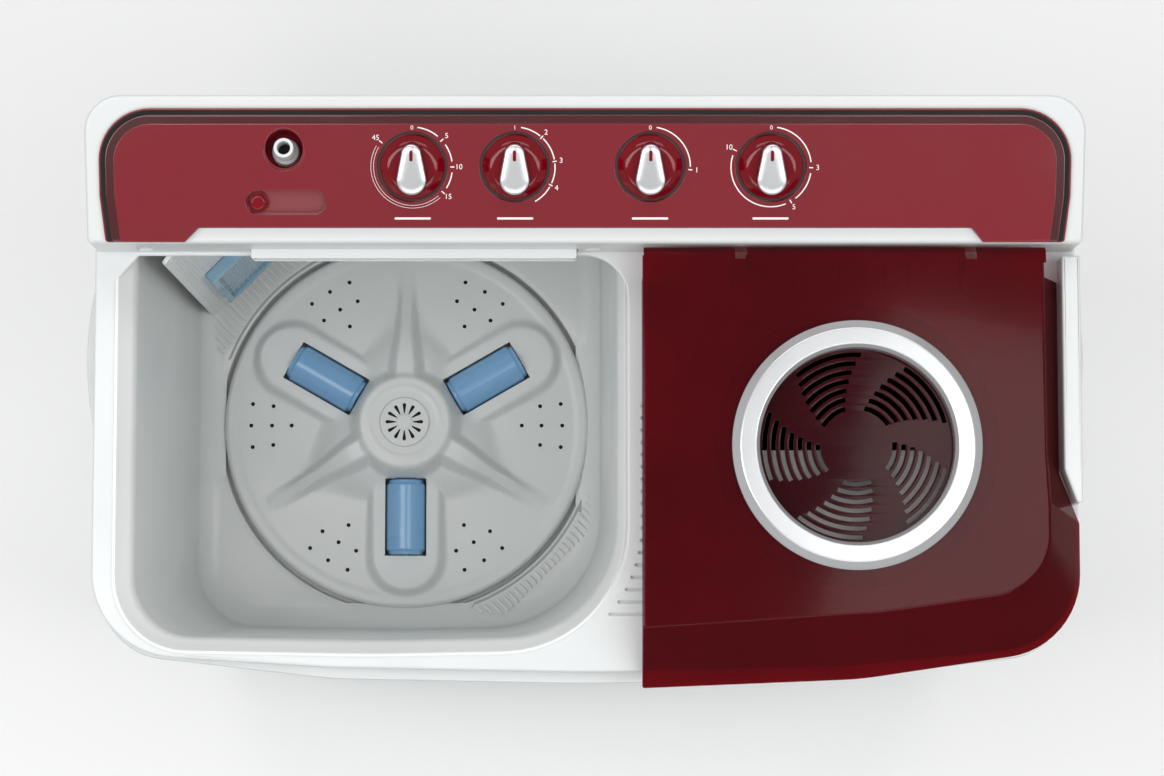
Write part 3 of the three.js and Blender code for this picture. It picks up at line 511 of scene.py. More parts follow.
def pad_height(reach, side):
    """The height of the long round-ended pad that holds a roller."""
    pad_near, pad_far, pad_top = 70, 127, 518.5
    past_end = max(0.0, reach - pad_far, pad_near - reach)
    return pad_top - 18 * ease(31, 41, math.hypot(past_end, side))


def pulsator_height(x, y):
    """The height of the pulsator's face, all in millimetres, x and y from its centre."""
    radius = math.hypot(x, y)
    height = 503 + 2.6 * ease(161, 166, radius) + 7 * (1 - ease(50, 150, radius))
    for angle in vane_angles:
        c, s = math.cos(math.radians(angle)), math.sin(math.radians(angle))
        height = soft_top(height, vane_height(x * c + y * s, -x * s + y * c), 5.0)
    for angle in roller_angles:
        c, s = math.cos(math.radians(angle)), math.sin(math.radians(angle))
        if x * c + y * s > 30:
            height = soft_top(height, pad_height(x * c + y * s, -x * s + y * c), 3.0)
    hub_top, ridge = 549.5, 0.8
    hub = hub_top - 30 * ease(42, 56, radius) - 12 * ease(50, 70, radius)
    hub = hub + ridge * ease(31, 33, radius) - ridge * ease(34, 36, radius)
    height = soft_top(height, hub, 7.0)
    return height - 3 * ease(173, 176, radius)


face_steps = 288
face_rings = []
radii = [9 + i * 2.0 for i in range(84)]
for radius in radii:
    ring = []
    for i in range(face_steps):
        angle = 2 * math.pi * i / face_steps
        x, y = radius * math.cos(angle), radius * math.sin(angle)
        ring.append((wash_centre.x + x * mm, wash_centre.y + y * mm, pulsator_height(x, y) * mm))
    face_rings.append(ring)
for height in (501, 495):
    face_rings.append(round_ring(wash_centre, pulsator_radius, height * mm, face_steps))
pulsator = skin_over("pulsator_face", face_rings, close_first=True)
thicken(pulsator, 2.5 * mm, bpy.ops.mesh.normals_make_consistent)


def box_at(name, centre, size, turn=0.0):
    """A box turned about the upright, as a cutter."""
    clear_selection()
    bpy.ops.mesh.primitive_cube_add(size=1, location=centre, rotation=(0, 0, turn))
    box = bpy.context.object
    box.name = name
    box.scale = size
    bpy.ops.object.transform_apply(location=True, rotation=True, scale=True)
    return box


def rod_at(centre, radius, depth, turn=(0, 0, 0), sides=48):
    """A cylinder, upright unless it is turned."""
    clear_selection()
    bpy.ops.mesh.primitive_cylinder_add(vertices=sides, radius=radius, depth=depth, location=centre,
                                        rotation=turn)
    return bpy.context.object


window_size = (74 * mm, 39.6 * mm, 60 * mm)
for angle in roller_angles:
    turn = math.radians(angle)
    middle = wash_centre + roller_place * heading(turn)
    carve(pulsator, box_at("roller_window", (middle.x, middle.y, roller_height), window_size, turn))
settle(pulsator, "pulsator_moulding", grey_pp, "pulsator", "grey_tub", "pulsator", angle=50)

# Drain holes: each is a black disc of painted shadow, standing in for the hole's depth, in a pale moulded rim.
# A near-black with almost no sheen is painted wherever a hollow should look unlit. The rims are rubbed paler.
shade_black = grained("painted_shadow_black", "#060606", "#030303", 0.8, 1.0 * mm, 0.01 * mm, wear=0.0)
pale_rim = grained("rubbed_polypropylene_rim", "#E4E6E5", "#DCDFDE", 0.4, 1.0 * mm, 0.01 * mm)
hole_spots = []
for group in range(6):
    for reach, offsets in ((150, (-8, 0, 8)), (130, (-8.3, 0, 8.3)), (111, (0,))):
        for offset in offsets:
            angle = math.radians(group * 60 + offset)
            hole_spots.append((reach * math.cos(angle), reach * math.sin(angle)))
hole_disc = 0.8
for kind, radius, lift, material in (("rim", 3.1, 0.35, pale_rim), ("well", 1.95, 0.5, shade_black)):
    discs = []
    for x, y in hole_spots:
        height = pulsator_height(x, y) * mm + (lift - hole_disc / 2) * mm
        spot = (wash_centre.x + x * mm, wash_centre.y + y * mm, height)
        discs.append(rod_at(spot, radius * mm, hole_disc * mm, sides=16))
    holes = tidy_mesh(join_all(discs))
    settle(holes, f"pulsator_hole_{kind}s", material, "pulsator", "grey_tub")


def turned(name, corners, centre=Vector((0, 0)), steps=96, arc=4):
    """A closed profile of (radius, height, rounding) in millimetres, turned about an upright."""
    rings = [round_ring(centre, point.x, point.y, steps) for point in rounded(corners, arc)]
    return tidy_mesh(skin_over(name, rings, loop=True))


def fan_slot(radius, width, start, sweep, centre=(0, 0), steps=10):
    """A slot that follows an arc, with square ends, in millimetres and degrees, as an outline in metres."""
    inner, outer = [], []
    for step in range(steps + 1):
        angle = math.radians(start + sweep * step / steps)
        way = heading(angle)
        inner.append((Vector(centre) + way * (radius - width / 2)) * mm)
        outer.append((Vector(centre) + way * (radius + width / 2)) * mm)
    return outer + inner[::-1]


# The hub cap: a shallow disc with a raised middle and twelve drop-shaped slots round it.
cap_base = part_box("pulsator_cap")[0].z / mm
cap = turned("cap", [(0, cap_base, 0), (24, cap_base, 0.5), (23, cap_base + 2.4, 1.2), (8, cap_base + 2.2, 1),
                     (6.5, cap_base + 3.1, 0.8), (0, cap_base + 3.2, 0)], wash_centre)
drops = []
for i in range(12):
    turn = Matrix.Rotation(math.radians(30 * i), 2)
    drop = [Vector((16.2 + 1.7 * math.cos(a), 1.7 * math.sin(a)))
            for a in (math.pi * (k / 6 - 0.5) for k in range(7))]
    drop = [Vector((8.2, -0.5))] + drop + [Vector((8.2, 0.5))]
    drops.append([wash_centre + (turn @ p) * mm for p in drop])
carve(cap, plate("drop_slots", drops, (cap_base + 1.0) * mm, (cap_base + 6) * mm))
settle(cap, "pulsator_hub_cap", grey_pp, "pulsator", "grey_tub", "pulsator_cap")
# A black disc under the slots is painted shadow for the dark inside of the hub cap.
slot_floor = turned("slot_floor", [(7, cap_base + 0.9, 0), (18.5, cap_base + 0.9, 0),
                                   (18.5, cap_base + 1.15, 0), (7, cap_base + 1.15, 0)], wash_centre)
settle(slot_floor, "pulsator_cap_slot_shadow", shade_black, "pulsator", "grey_tub")

# The rollers: blue barrels between rounded end collars, turning on steel axles.
# Blue polypropylene: a clear light blue with a long soft highlight down each barrel.
blue_pp = grained("blue_polypropylene", "#7AAEDC", "#86B6E0", 0.26, 0.9 * mm, 0.015 * mm, 0.3)
half = 36
lay_down = Matrix.Rotation(math.pi / 2, 4, "Y")
for number, angle in enumerate(roller_angles, 1):
    barrel = turned("barrel", [
        (0, -half, 0), (16.5, -half, 1.5), (17, 3 - half, 0.8), (19, 5 - half, 1.5),
        (19, half - 5, 1.5), (17, half - 3, 0.8), (16.5, half, 1.5), (0, half, 0)], steps=64)
    axle = turned("axle", [
        (0, -half - 6, 0), (3, -half - 6, 0.4), (3, half + 6, 0.4), (0, half + 6, 0)], steps=24)
    roller = join_all([barrel, axle])
    turn = math.radians(angle)
    middle = wash_centre + roller_place * heading(turn)
    place = Matrix.Translation((middle.x, middle.y, roller_height))
    roller.matrix_world = place @ Matrix.Rotation(turn, 4, "Z") @ lay_down
    tidy_mesh(roller)
    settle(roller, f"blue_roller_{number}", blue_pp, f"roller_{number}", "blue_plastic",
           f"pulsator_roller_{number}")


# ---- Circulation column, lint filter and drain cover ----
# Ribbed polypropylene plates clip over the tub's back-left and front-right corners. The ribs run
# along each corner's diagonal, and the column carries a blue filter cassette in its face.
rib_pitch = 6.3
rib_half = 1.3
column_face = 209
column_diagonal, cover_diagonal = 135, -45
on_end = Matrix.Rotation(math.pi / 2, 4, "Z") @ Matrix.Rotation(math.pi / 2, 4, "X")


def fan_outline(diagonal, spread, corners):
    """A floor plate fanned round the pulsator, the same on both sides of a diagonal."""
    points = [Vector((182.5 * math.cos(a), 182.5 * math.sin(a)))
              for a in (math.radians(spread - 2 * spread * k / 20) for k in range(21))]
    points += [Vector((reach, -side)) for reach, side in corners]
    points += [Vector((reach, side)) for reach, side in corners[::-1]]
    turn = Matrix.Rotation(math.radians(diagonal), 2)
    return [wash_centre + (turn @ p) * mm for p in points]


def bar_outline(diagonal, near, far, side):
    """A round-ended bar along a diagonal from the pulsator's centre."""
    bar = oblong(near, side - rib_half, far, side + rib_half, rib_half * 0.98, 4)
    turn = Matrix.Rotation(math.radians(diagonal), 2)
    return [wash_centre + turn @ p for p in bar]


foot = plate("column_foot", [fan_outline(column_diagonal, 24, [(168, 85), (column_face + 2, 57)])],
             tub_floor + 0.3 * mm, tub_floor + 2.2 * mm, 0.6 * mm)
column_half = 57.8
face_outline = oblong(-column_half, tub_floor / mm + 0.3, column_half, deck_top / mm - 20, 1, back_radius=10)
face = plate("column_face", [face_outline], 0, 4 * mm, 1 * mm)
diagonal_frame = (Matrix.Translation((wash_centre.x, wash_centre.y, 0))
                  @ Matrix.Rotation(math.radians(column_diagonal), 4, "Z"))
face_ribs, floor_ribs = [], []
for i in range(-8, 9):
    side = i * rib_pitch
    low, high = tub_floor / mm + 3, deck_top / mm - 26
    spans = [(low, 548), (712, high)] if abs(side) < 42 else [(low, high)]
    for start, end in spans:
        face_ribs.append(oblong(side - rib_half, start, side + rib_half, end, 1.2, 3))
for i in range(-12, 13):
    side = i * rib_pitch
    start = max(math.sqrt(186 ** 2 - side ** 2), 176 - abs(side) * 0.02)
    end = 208 if abs(side) < 57 else 211 - (abs(side) - 57) * 1.5
    if end - start > 6:
        floor_ribs.append(bar_outline(column_diagonal, start, end, side))
ribs = plate("face_ribs", face_ribs, -1.4 * mm, 1 * mm, 0.5 * mm)
for upright in (face, ribs):
    upright.matrix_world = diagonal_frame @ Matrix.Translation((column_face * mm, 0, 0)) @ on_end
    tidy_mesh(upright)
floor_rib_bars = plate("floor_ribs", floor_ribs, tub_floor + 2 * mm, tub_floor + 6 * mm, 0.5 * mm)
# The plates under the ribs are a darker grey of painted shade, so the gaps between the ribs show.
gap_shade_grey = grained("rib_gap_painted_shade_grey", "#AEB2B2", "#A2A6A6", 0.4, 1.0 * mm, 0.02 * mm)
settle(join_all([face, ribs, floor_rib_bars]), "ribbed_circulation_column", grey_pp, "machine", "grey_tub",
       "circulation_column")
settle(foot, "column_foot_plate", gap_shade_grey, "machine", "grey_tub")

# The cassette is pale blue polypropylene, greyer than the rollers.
filter_blue = grained("pale_blue_polypropylene", "#7FA6BE", "#8FB2C6", 0.3, 0.9 * mm, 0.015 * mm, 0.3)
cassette = plate("cassette", [oblong(-38, 555, 38, 705, 4)], 0.5 * mm, 12 * mm, 1.5 * mm,
                 [oblong(-31, 562, 31, 698, 3)])
mesh_half = 0.5
mesh_bars = [oblong(x - mesh_half, 560, x + mesh_half, 700, 0) for x in range(-27, 28, 6)]
mesh_bars_across = [oblong(-33, y - mesh_half, 33, y + mesh_half, 0) for y in range(568, 696, 8)]
lattice = plate("lattice", mesh_bars, 4 * mm, 5.2 * mm)
lattice_across = plate("lattice_across", mesh_bars_across, 5.1 * mm, 6.2 * mm)
cassette = join_all([cassette, lattice, lattice_across])
cassette.matrix_world = diagonal_frame @ Matrix.Translation(((column_face - 12.3) * mm, 0, 0)) @ on_end
tidy_mesh(cassette)
settle(cassette, "lint_filter_cassette", filter_blue, "machine", "blue_plastic", "lint_filter")

# The drain cover's plate is painted the same darker grey as shade between its ribs.
cover = plate("drain_cover_plate", [fan_outline(cover_diagonal, 24, [(170, 84), (198, 60)])],
              tub_floor + 0.3 * mm, tub_floor + 2.2 * mm, 0.6 * mm)
cover_ribs = []
for i in range(-12, 13):
    side = i * rib_pitch
    start = math.sqrt(187 ** 2 - side ** 2)
    end = 196 if abs(side) < 60 else 198 - (abs(side) - 60) * 1.2
    if end - start > 5:
        cover_ribs.append(bar_outline(cover_diagonal, start, end, side))
cover_bars = plate("cover_ribs", cover_ribs, tub_floor + 2 * mm, tub_floor + 6 * mm, 0.5 * mm)
settle(cover_bars, "drain_cover_ribs", grey_pp, "machine", "grey_tub")
settle(cover, "drain_cover_plate", gap_shade_grey, "machine", "grey_tub", "drain_cover")


# ---- Cabinet, feet and rear cover ----
# The cabinet is a white polypropylene moulding that tapers to a grey base tray on four rubber feet.
# A bowed grip stands out of each side, and a slotted cover closes the back.
# Rubber is near black and dull. The base tray is a mid grey polypropylene with a broad sheen.
rubber = grained("matt_black_rubber", "#1B1B1C", "#242425", 0.78, 0.6 * mm, 0.05 * mm)
tray_grey = grained("grey_base_polypropylene", "#B9BDBE", "#AEB2B3", 0.42, 1.2 * mm, 0.03 * mm)


def cabinet_outline(inset, taper=0):
    """The cabinet's plan in from its outer face. The taper draws in the sides and front."""
    side = deck_side - 2 - inset - taper
    forward = inset + taper
    back = machine_back / mm - 6 - inset
    return rounded([(-side, -213 + forward, 58 - forward), (-215, -236 + forward, 400),
                    (0, -240 + forward, 1200), (215, -236 + forward, 400),
                    (side, -213 + forward, 58 - forward), (side, back, 24 - inset), (-side, back, 24 - inset)], 12)


def at_height(outline, height):
    """A flat outline as a ring of points at one height."""
    return [(p.x, p.y, height) for p in outline]


def cabinet_rings(levels):
    """The cabinet's plan at each (inset, taper, height) level in millimetres."""
    return [at_height(cabinet_outline(inset, taper), height * mm) for inset, taper, height in levels]


head = deck_top / mm - 44
shell = tidy_mesh(skin_over("shell", cabinet_rings([
    (3, 8, 70), (1.5, 8, 70), (0, 8, 72), (0, 0, head - 3), (0.9, 0, head - 0.9), (3, 0, head),
    (18, 0, head), (18, 0, head - 3), (3, 0, head - 3), (3, 8, 72)]), loop=True))
rear = {"left": -305, "right": -35, "bottom": 130, "top": 430}
service_middle = Vector(((rear["left"] + rear["right"]) / 2, (rear["bottom"] + rear["top"]) / 2)) * mm
service_size = (246 * mm, 100 * mm, 276 * mm)
carve(shell, box_at("service_hole", (service_middle.x, machine_back, service_middle.y), service_size))
# The drain outlet's hole and the cable gland's: across, up and radius.
for x, z, radius in ((330, 150, 18.5), (-380, 420, 10.5)):
    carve(shell, rod_at((x * mm, machine_back, z * mm), radius * mm, 60 * mm, (math.pi / 2, 0, 0)))
grip_bow, grip_reach = 290, 430
for side in (-1, 1):
    bows = []
    for inset, reach in ((0, deck_side - 4), (3, deck_side - 0.5)):
        radius, middle_x = grip_bow - inset, grip_reach - grip_bow
        half = math.acos((reach - middle_x) / radius)
        bows.append([Vector((side * (middle_x + radius * math.cos(a)), 40 + radius * math.sin(a))) * mm
                     for a in (half * (k / 16 - 1) for k in range(33))])
    grip = plate("grip", [bows[0]], 780 * mm, 850 * mm, 1.2 * mm)
    carve(grip, plate("pocket", [bows[1]], 770 * mm, 842 * mm))
    settle(grip, f"carry_grip_{'left' if side < 0 else 'right'}", white_abs, "machine", "white_body")
settle(shell, "cabinet_moulding", white_abs, "machine", "white_body", "cabinet_shell")

tray = tidy_mesh(skin_over("tray", cabinet_rings([
    (14, 0, 24), (16, 0, 22), (40, 0, 22), (40, 0, 27), (17, 0, 27), (14, 0, 95), (11, 0, 95),
    (11, 0, 90)]), loop=True))
floor_sheet = plate("tray_floor", [cabinet_outline(39)], 22.5 * mm, 26.5 * mm)
settle(join_all([tray, floor_sheet]), "base_tray_moulding", tray_grey, "machine", "grey_tub", "base_tray")
for end, y in (("front", -165), ("back", 190)):
    for side, x in (("left", -350), ("right", 350)):
        foot = turned("foot", [(0, 0, 0), (19, 0, 2), (22, 3, 1), (19, 12, 4), (17, 21.7, 1), (0, 21.7, 0)],
                      Vector((x, y)) * mm, 48)
        settle(foot, f"rubber_foot_{end}_{side}", rubber, "machine", "black_rubber", f"foot_{end}_{side}")

slot_pitch, slot_width = 18, 8
slot_lows = [rear["bottom"] + 66 + i * slot_pitch for i in range(7)]
cover_slots = [oblong(-255, low, -85, low + slot_width, 3.9, 5) for low in slot_lows]
rear_outline = oblong(rear["left"], rear["bottom"], rear["right"], rear["top"], 10)
rear_plate = plate("rear_plate", [rear_outline], 0, 2.5 * mm, 0.8 * mm, cover_slots)
screw_profile = [(0, 2.4, 0), (4, 2.4, 0), (3.6, 4.2, 0.8), (0, 4.6, 0)]
screws = []
for x in (rear["left"] + 10, rear["right"] - 10):
    for z in (rear["bottom"] + 12, rear["top"] - 12):
        screws.append(turned("screw", screw_profile, Vector((x, z)) * mm, 24))
rear_plate = join_all([rear_plate] + screws)
rear_plate.matrix_world = (Matrix.Translation((0, machine_back - 5.7 * mm, 0))
                           @ Matrix.Scale(-1, 4, (0, 1, 0)) @ Matrix.Rotation(math.pi / 2, 4, "X"))
tidy_mesh(rear_plate)
settle(rear_plate, "slotted_rear_cover", tray_grey, "machine", "grey_tub", "rear_cover")


# ---- Console housing and water path ----
# A hollow white ABS housing crosses the back, its sloping top sunk for the control panel.
# A white inlet nozzle stands in a round bowl and feeds a flat chute that opens over the wash tub.
panel_rise = math.atan(35 / 119)
lip_height = 55
edge_round = 3.5
panel_frame = (Matrix.Translation((0, console_front, deck_top + lip_height * mm))
               @ Matrix.Rotation(panel_rise, 4, "X"))
knob_line = 64.5
inlet = Vector((-249, 200)) * mm


def console_outline(inset):
    """The housing's plan in from its outer face."""
    side = deck_side - 1 - inset
    front, back = console_front / mm + inset, machine_back / mm - inset
    return oblong(-side, front, side, back, 4, back_radius=30 - inset)


def on_slope(outline, out):
    """A plan laid on the housing's sloping top, or out from it by some millimetres."""
    base = deck_top + (lip_height + out) * mm
    return [(p.x, p.y, base + (p.y - console_front) * math.tan(panel_rise)) for p in outline]


levels = [at_height(console_outline(0.6), deck_top + 0.3 * mm),
          at_height(console_outline(0), deck_top + 1 * mm)]
for step in range(6):
    turn = math.pi / 2 * step / 5
    inward, out = edge_round * (1 - math.cos(turn)), edge_round * (math.sin(turn) - 1)
    levels.append(on_slope(console_outline(inward), out))
housing = tidy_mesh(skin_over("housing", levels, close_first=True, close_last=True))
mouth = box_at("chute_mouth", (-144.5 * mm, 118 * mm, deck_top + 9 * mm), (277 * mm, 40 * mm, 20.6 * mm))
carve(housing, mouth)
carve(housing, plate("bowl_hole", [circle(inlet, 17 * mm, 64)], deck_top + 60 * mm, deck_top + 120 * mm))
# Two round recesses in the front take the pins of the wash lid.
for x in (-371, 6.6):
    pin_place = (x * mm, console_front, deck_top + 20 * mm)
    carve(housing, rod_at(pin_place, 9 * mm, 13 * mm, (0, math.pi / 2, 0)))
settle(housing, "console_moulding", white_abs, "machine", "white_body", "console_housing")

chute_low, chute_high = deck_top + 0.3 * mm, deck_top + 19 * mm
chute_plan = oblong(-282, 117, -7, 214, 2)
chute_floor = plate("chute_floor", [chute_plan], chute_low, chute_low + 2 * mm, 0.6 * mm)
chute_roof = plate("chute_roof", [chute_plan], chute_high - 2.2 * mm, chute_high, 0.9 * mm)
wall_plans = [oblong(-282, 117.4, -279.6, 214, 1), oblong(-9.4, 117.4, -7, 214, 1),
              oblong(-282, 211.5, -7, 214, 1)]
chute_walls = plate("chute_walls", wall_plans, chute_low + 1 * mm, chute_high - 1 * mm)
chute = join_all([chute_floor, chute_roof, chute_walls])
settle(chute, "water_chute_moulding", white_abs, "machine", "white_body", "water_chute")

seat = chute_high / mm + 0.3
nozzle = turned("nozzle", [(5.5, seat, 0), (14, seat, 0.5), (14, seat + 3, 0.5), (11, seat + 3, 0.5),
                           (11, seat + 48, 1), (8.25, seat + 50, 0.5), (8.25, seat + 68, 0.8),
                           (5.5, seat + 68, 0.6)], inlet)
settle(nozzle, "inlet_nozzle", white_abs, "machine", "white_body", "water_inlet_nozzle")
# A black disc down the nozzle's bore is painted shadow for its depth.
nozzle_dark = turned("nozzle_dark", [(0, seat + 50, 0), (5.6, seat + 50, 0), (5.6, seat + 51, 0),
                                     (0, seat + 51, 0)], inlet)
settle(nozzle_dark, "nozzle_depth_shadow", shade_black, "machine", "white_body")


# ---- Control panel ----
# The fascia is a glossy dark red acrylic plate: a thin border, a groove painted black as shadow, a bevel painted
# darker red as shade, and a raised field.
# Each dial has white pad-printed marks round its well, and only numbers are printed.
# Red acrylic has a smooth, wet-looking skin. The bevel round the field and the floors of the dial wells are
# painted a darker red as shade.
# White pad print is a flat, dull ink.
acrylic_grain, acrylic_relief = 1.4 * mm, 0.004 * mm
red_acrylic = grained("glossy_red_acrylic", "#801020", "#72101C", 0.12, acrylic_grain, acrylic_relief,
                      0.9, 0.05)
bevel_shade_red = grained("painted_shade_red_acrylic", "#4A0810", "#3C060C", 0.16, acrylic_grain, acrylic_relief,
                       0.9, 0.05)
white_ink = grained("white_pad_print", "#F3F1F0", "#EAE6E6", 0.5, 0.5 * mm, 0.01 * mm, wear=0.0)
panel_top = (machine_back - console_front) / mm / math.cos(panel_rise) - 11
knob_places = {"wash_timer": -143, "wash_selector": -58, "drain_selector": 54, "spin_timer": 154}


def to_panel(piece, across=0.0, line=0.0):
    """Lays a piece on the panel's slope, across and up it in millimetres, and hands it back."""
    piece.matrix_world = panel_frame @ Matrix.Translation((across * mm, line * mm, 0))
    return tidy_mesh(piece)


def border_outline(inset):
    """The fascia's plan. The sides and back come in by the inset, the front by a hair."""
    front = 1 + min(inset, 0.8)
    side = 403 - inset
    return rounded([
        (4 - side, front, 3), (-333, front, 1), (-321, front + 12, 3), (321, front + 12, 3), (331, front, 1),
        (side - 4, front, 3), (side, 40, 20), (side, panel_top - inset, 44 - inset),
        (-side, panel_top - inset, 44 - inset), (-side, 40, 20)], 12)


wells = [circle(Vector((x, knob_line)) * mm, 29.25 * mm, 72) for x in knob_places.values()]
slot_hole = oblong(-281, 25, -215, 45, 9.9, 10)
bowl_middle = (inlet.y - console_front + 3.5 * mm * math.sin(panel_rise)) / math.cos(panel_rise)
bowl_hole = [Vector((inlet.x + 16.9 * mm * math.cos(a), bowl_middle + 17.6 * mm * math.sin(a)))
             for a in (2 * math.pi * k / 64 for k in range(64))]
openings = wells + [slot_hole, bowl_hole]
# The groove's black and the bevel's dark red are painted shade round the raised field.
layers = [
    ("fascia_border", 0, 0.3, 2.8, 0.7, red_acrylic),
    ("fascia_groove_shadow", 1.6, 2.7, 2.9, 0.0, shade_black),
    ("fascia_bevel_painted_shade", 5.0, 1.3, 4.4, 1.4, bevel_shade_red),
    ("fascia_raised_field", 12.6, 4.2, 5.3, 0.5, red_acrylic),
]
for name, inset, low, high, edge, material in layers:
    layer = plate(name, [border_outline(inset)], low * mm, high * mm, edge * mm, openings)
    settle(to_panel(layer), name, material, "machine", "red_fascia")
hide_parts("console_fascia")
# The dial wells' floors are painted a darker red as shade.
floors = [plate("well_floor", [circle(Vector((x, knob_line)) * mm, 29.2 * mm, 72)], 0.3 * mm, 0.7 * mm)
          for x in knob_places.values()]
slot_floor = plate("slot_floor", [oblong(-282, 24, -214, 46, 10, 10)], 0.3 * mm, 0.7 * mm)
settle(to_panel(slot_floor), "slider_slot_floor", red_acrylic, "machine", "red_fascia")
settle(to_panel(join_all(floors)), "dial_well_floors", bevel_shade_red, "machine", "red_fascia")
bowl_low = deck_top / mm + 60
bowl = turned("bowl", [(11.4, bowl_low, 0), (16.8, bowl_low, 0), (16.8, bowl_low + 40, 0),
                       (15.6, bowl_low + 40, 0), (15.6, bowl_low + 3, 2), (11.4, bowl_low + 1.5, 0)], inlet)
above = box_at("above", (0, 0, 0), (60 * mm, 80 * mm, 60 * mm))
above.matrix_world = panel_frame @ Matrix.Translation((inlet.x, bowl_middle, 34.6 * mm))
tidy_mesh(above)
carve(bowl, above)
settle(bowl, "inlet_bowl_lining", red_acrylic, "machine", "red_fascia")

# Marks: a printed number stands outside each tick, and a hollow arc shows the longest setting.
ring_radius = 33.2
face_height = 5.3
dial_marks = {
    "wash_timer": {"ticks": [0, 48, 90, 130, 309], "numbers": ["0", "5", "10", "15", "45"],
                   "arcs": [(8, 40), (56, 82), (98, 122)], "hollow": (138, 301)},
    "wash_selector": {"ticks": [0, 42, 82, 117], "numbers": ["1", "2", "3", "4"],
                      "arcs": [(9, 39), (45, 79), (85, 114), (120, 150)], "hollow": None},
    "drain_selector": {"ticks": [0, 94], "numbers": ["0", "1"], "arcs": [(9, 90)], "hollow": None},
    "spin_timer": {"ticks": [0, 91, 150, 295], "numbers": ["0", "3", "5", "10"],
                   "arcs": [(8, 83), (99, 142), (158, 287)], "hollow": None},
}


def number_mesh(text, x, y, size):
    """A printed number lying on the panel's field."""
    clear_selection()
    bpy.ops.object.text_add(location=(0, 0, 0))
    label = bpy.context.object
    label.data.body = text
    label.data.size = size * mm
    label.data.align_x = "CENTER"
    label.data.align_y = "CENTER"
    label.data.extrude = 0.05 * mm
    pick(label)
    bpy.ops.object.convert(target="MESH")
    label = bpy.context.object
    label.location = (x * mm, y * mm, (face_height + 0.05) * mm)
    return tidy_mesh(label)


for name, marks in dial_marks.items():
    x = knob_places[name]
    outlines = []
    for tick in marks["ticks"][1:]:
        outlines.append(fan_slot(ring_radius, 3.4, 90 - tick - 0.8, 1.6, (x, knob_line), 1))
    for start, end in marks["arcs"]:
        outlines.append(fan_slot(ring_radius, 1.0, 90 - end, end - start, (x, knob_line), 24))
    if marks["hollow"]:
        start, end = marks["hollow"]
        for rim in (-1.1, 1.1):
            outlines.append(fan_slot(ring_radius + rim, 0.35, 90 - end, end - start, (x, knob_line), 40))
    outlines.append(oblong(x - 15, 20.6, x + 15, 22.4, 0.6, 2))
    print_piece = [plate("marks", outlines, (face_height - 0.02) * mm, (face_height + 0.08) * mm)]
    for tick, number in zip(marks["ticks"], marks["numbers"]):
        angle = math.radians(90 - tick)
        reach = ring_radius + (5.4 if tick else -0.6)
        spot = Vector((x, knob_line)) + reach * heading(angle)
        print_piece.append(number_mesh(number, spot.x, spot.y, 6.2 if tick else 5.0))
    settle(to_panel(join_all(print_piece)), f"{name}_printed_marks", white_ink, "machine", "red_fascia")


def clear_red(name, tint, surface, share, coat=0.6, mirror=0.5):
    """Clear dark red plastic: light passes with a red tint, and a glossy skin lies over it."""
    material = bpy.data.materials.new(name)
    material.use_nodes = True
    shader = material.node_tree.nodes["Principled BSDF"]
    output = material.node_tree.nodes["Material Output"]
    place = add_node(material, "ShaderNodeTexCoord").outputs["Object"]
    drift = add_node(material, "ShaderNodeTexNoise", {"Scale": 9.0, "Detail": 3.0}, {"Vector": place})
    cloud = add_node(material, "ShaderNodeMapRange", {"To Min": 0.0, "To Max": 0.22},
                     {"Value": drift.outputs[0]})
    tone = add_node(material, "ShaderNodeMix", {"data_type": "RGBA", 6: linear(surface), 7: linear(tint)},
                    {0: cloud.outputs[0]})
    gloss = add_node(material, "ShaderNodeMapRange", {"To Min": 0.05, "To Max": 0.12},
                     {"Value": drift.outputs[0]})
    skin = add_node(material, "ShaderNodeTexNoise", {"Scale": 900.0, "Detail": 2.0}, {"Vector": place})
    ripple = add_node(material, "ShaderNodeBump", {"Strength": 0.1, "Distance": 0.004 * mm},
                      {"Height": skin.outputs[0]})
    clear = add_node(material, "ShaderNodeBsdfTransparent", {"Color": linear(tint)})
    links = material.node_tree.links
    links.new(tone.outputs[2], shader.inputs["Base Color"])
    links.new(gloss.outputs[0], shader.inputs["Roughness"])
    links.new(ripple.outputs[0], shader.inputs["Normal"])
    shader.inputs["Coat Weight"].default_value = coat
    shader.inputs["Specular IOR Level"].default_value = mirror
    mixed = add_node(material, "ShaderNodeMixShader", {0: share}, {1: clear.outputs[0], 2: shader.outputs[0]})
    links.new(mixed.outputs[0], output.inputs["Surface"])
    return material


# The knobs are clear ruby acrylic, so the well's floor, painted dark as shade, shows through them.
knob_red = clear_red("clear_red_knob_acrylic", "#C00A24", "#8A0016", 0.6)
# Metallised plastic: a bright satin silver whose highlight stays soft, unlike solid metal.
silver = grained("metallised_silver_plastic", "#D6D8DA", "#CBCDCF", 0.24, 0.7 * mm, 0.004 * mm, 0.3,
                 metallic=0.6)


def egg_outline(shrink):
    """The grip in plan: narrow to the back, wide to the front."""
    narrow, wide = 8.6 - shrink, 12.75 - shrink
    lean = math.asin((wide - narrow) / 21.9)
    points = [Vector((narrow * math.cos(a), 12.9 + narrow * math.sin(a)))
              for a in (lean + (math.pi - 2 * lean) * k / 14 for k in range(15))]
    points += [Vector((wide * math.cos(a), -9 + wide * math.sin(a)))
               for a in (math.pi - lean + (math.pi + 2 * lean) * k / 24 for k in range(25))]
    return [p * mm for p in points]


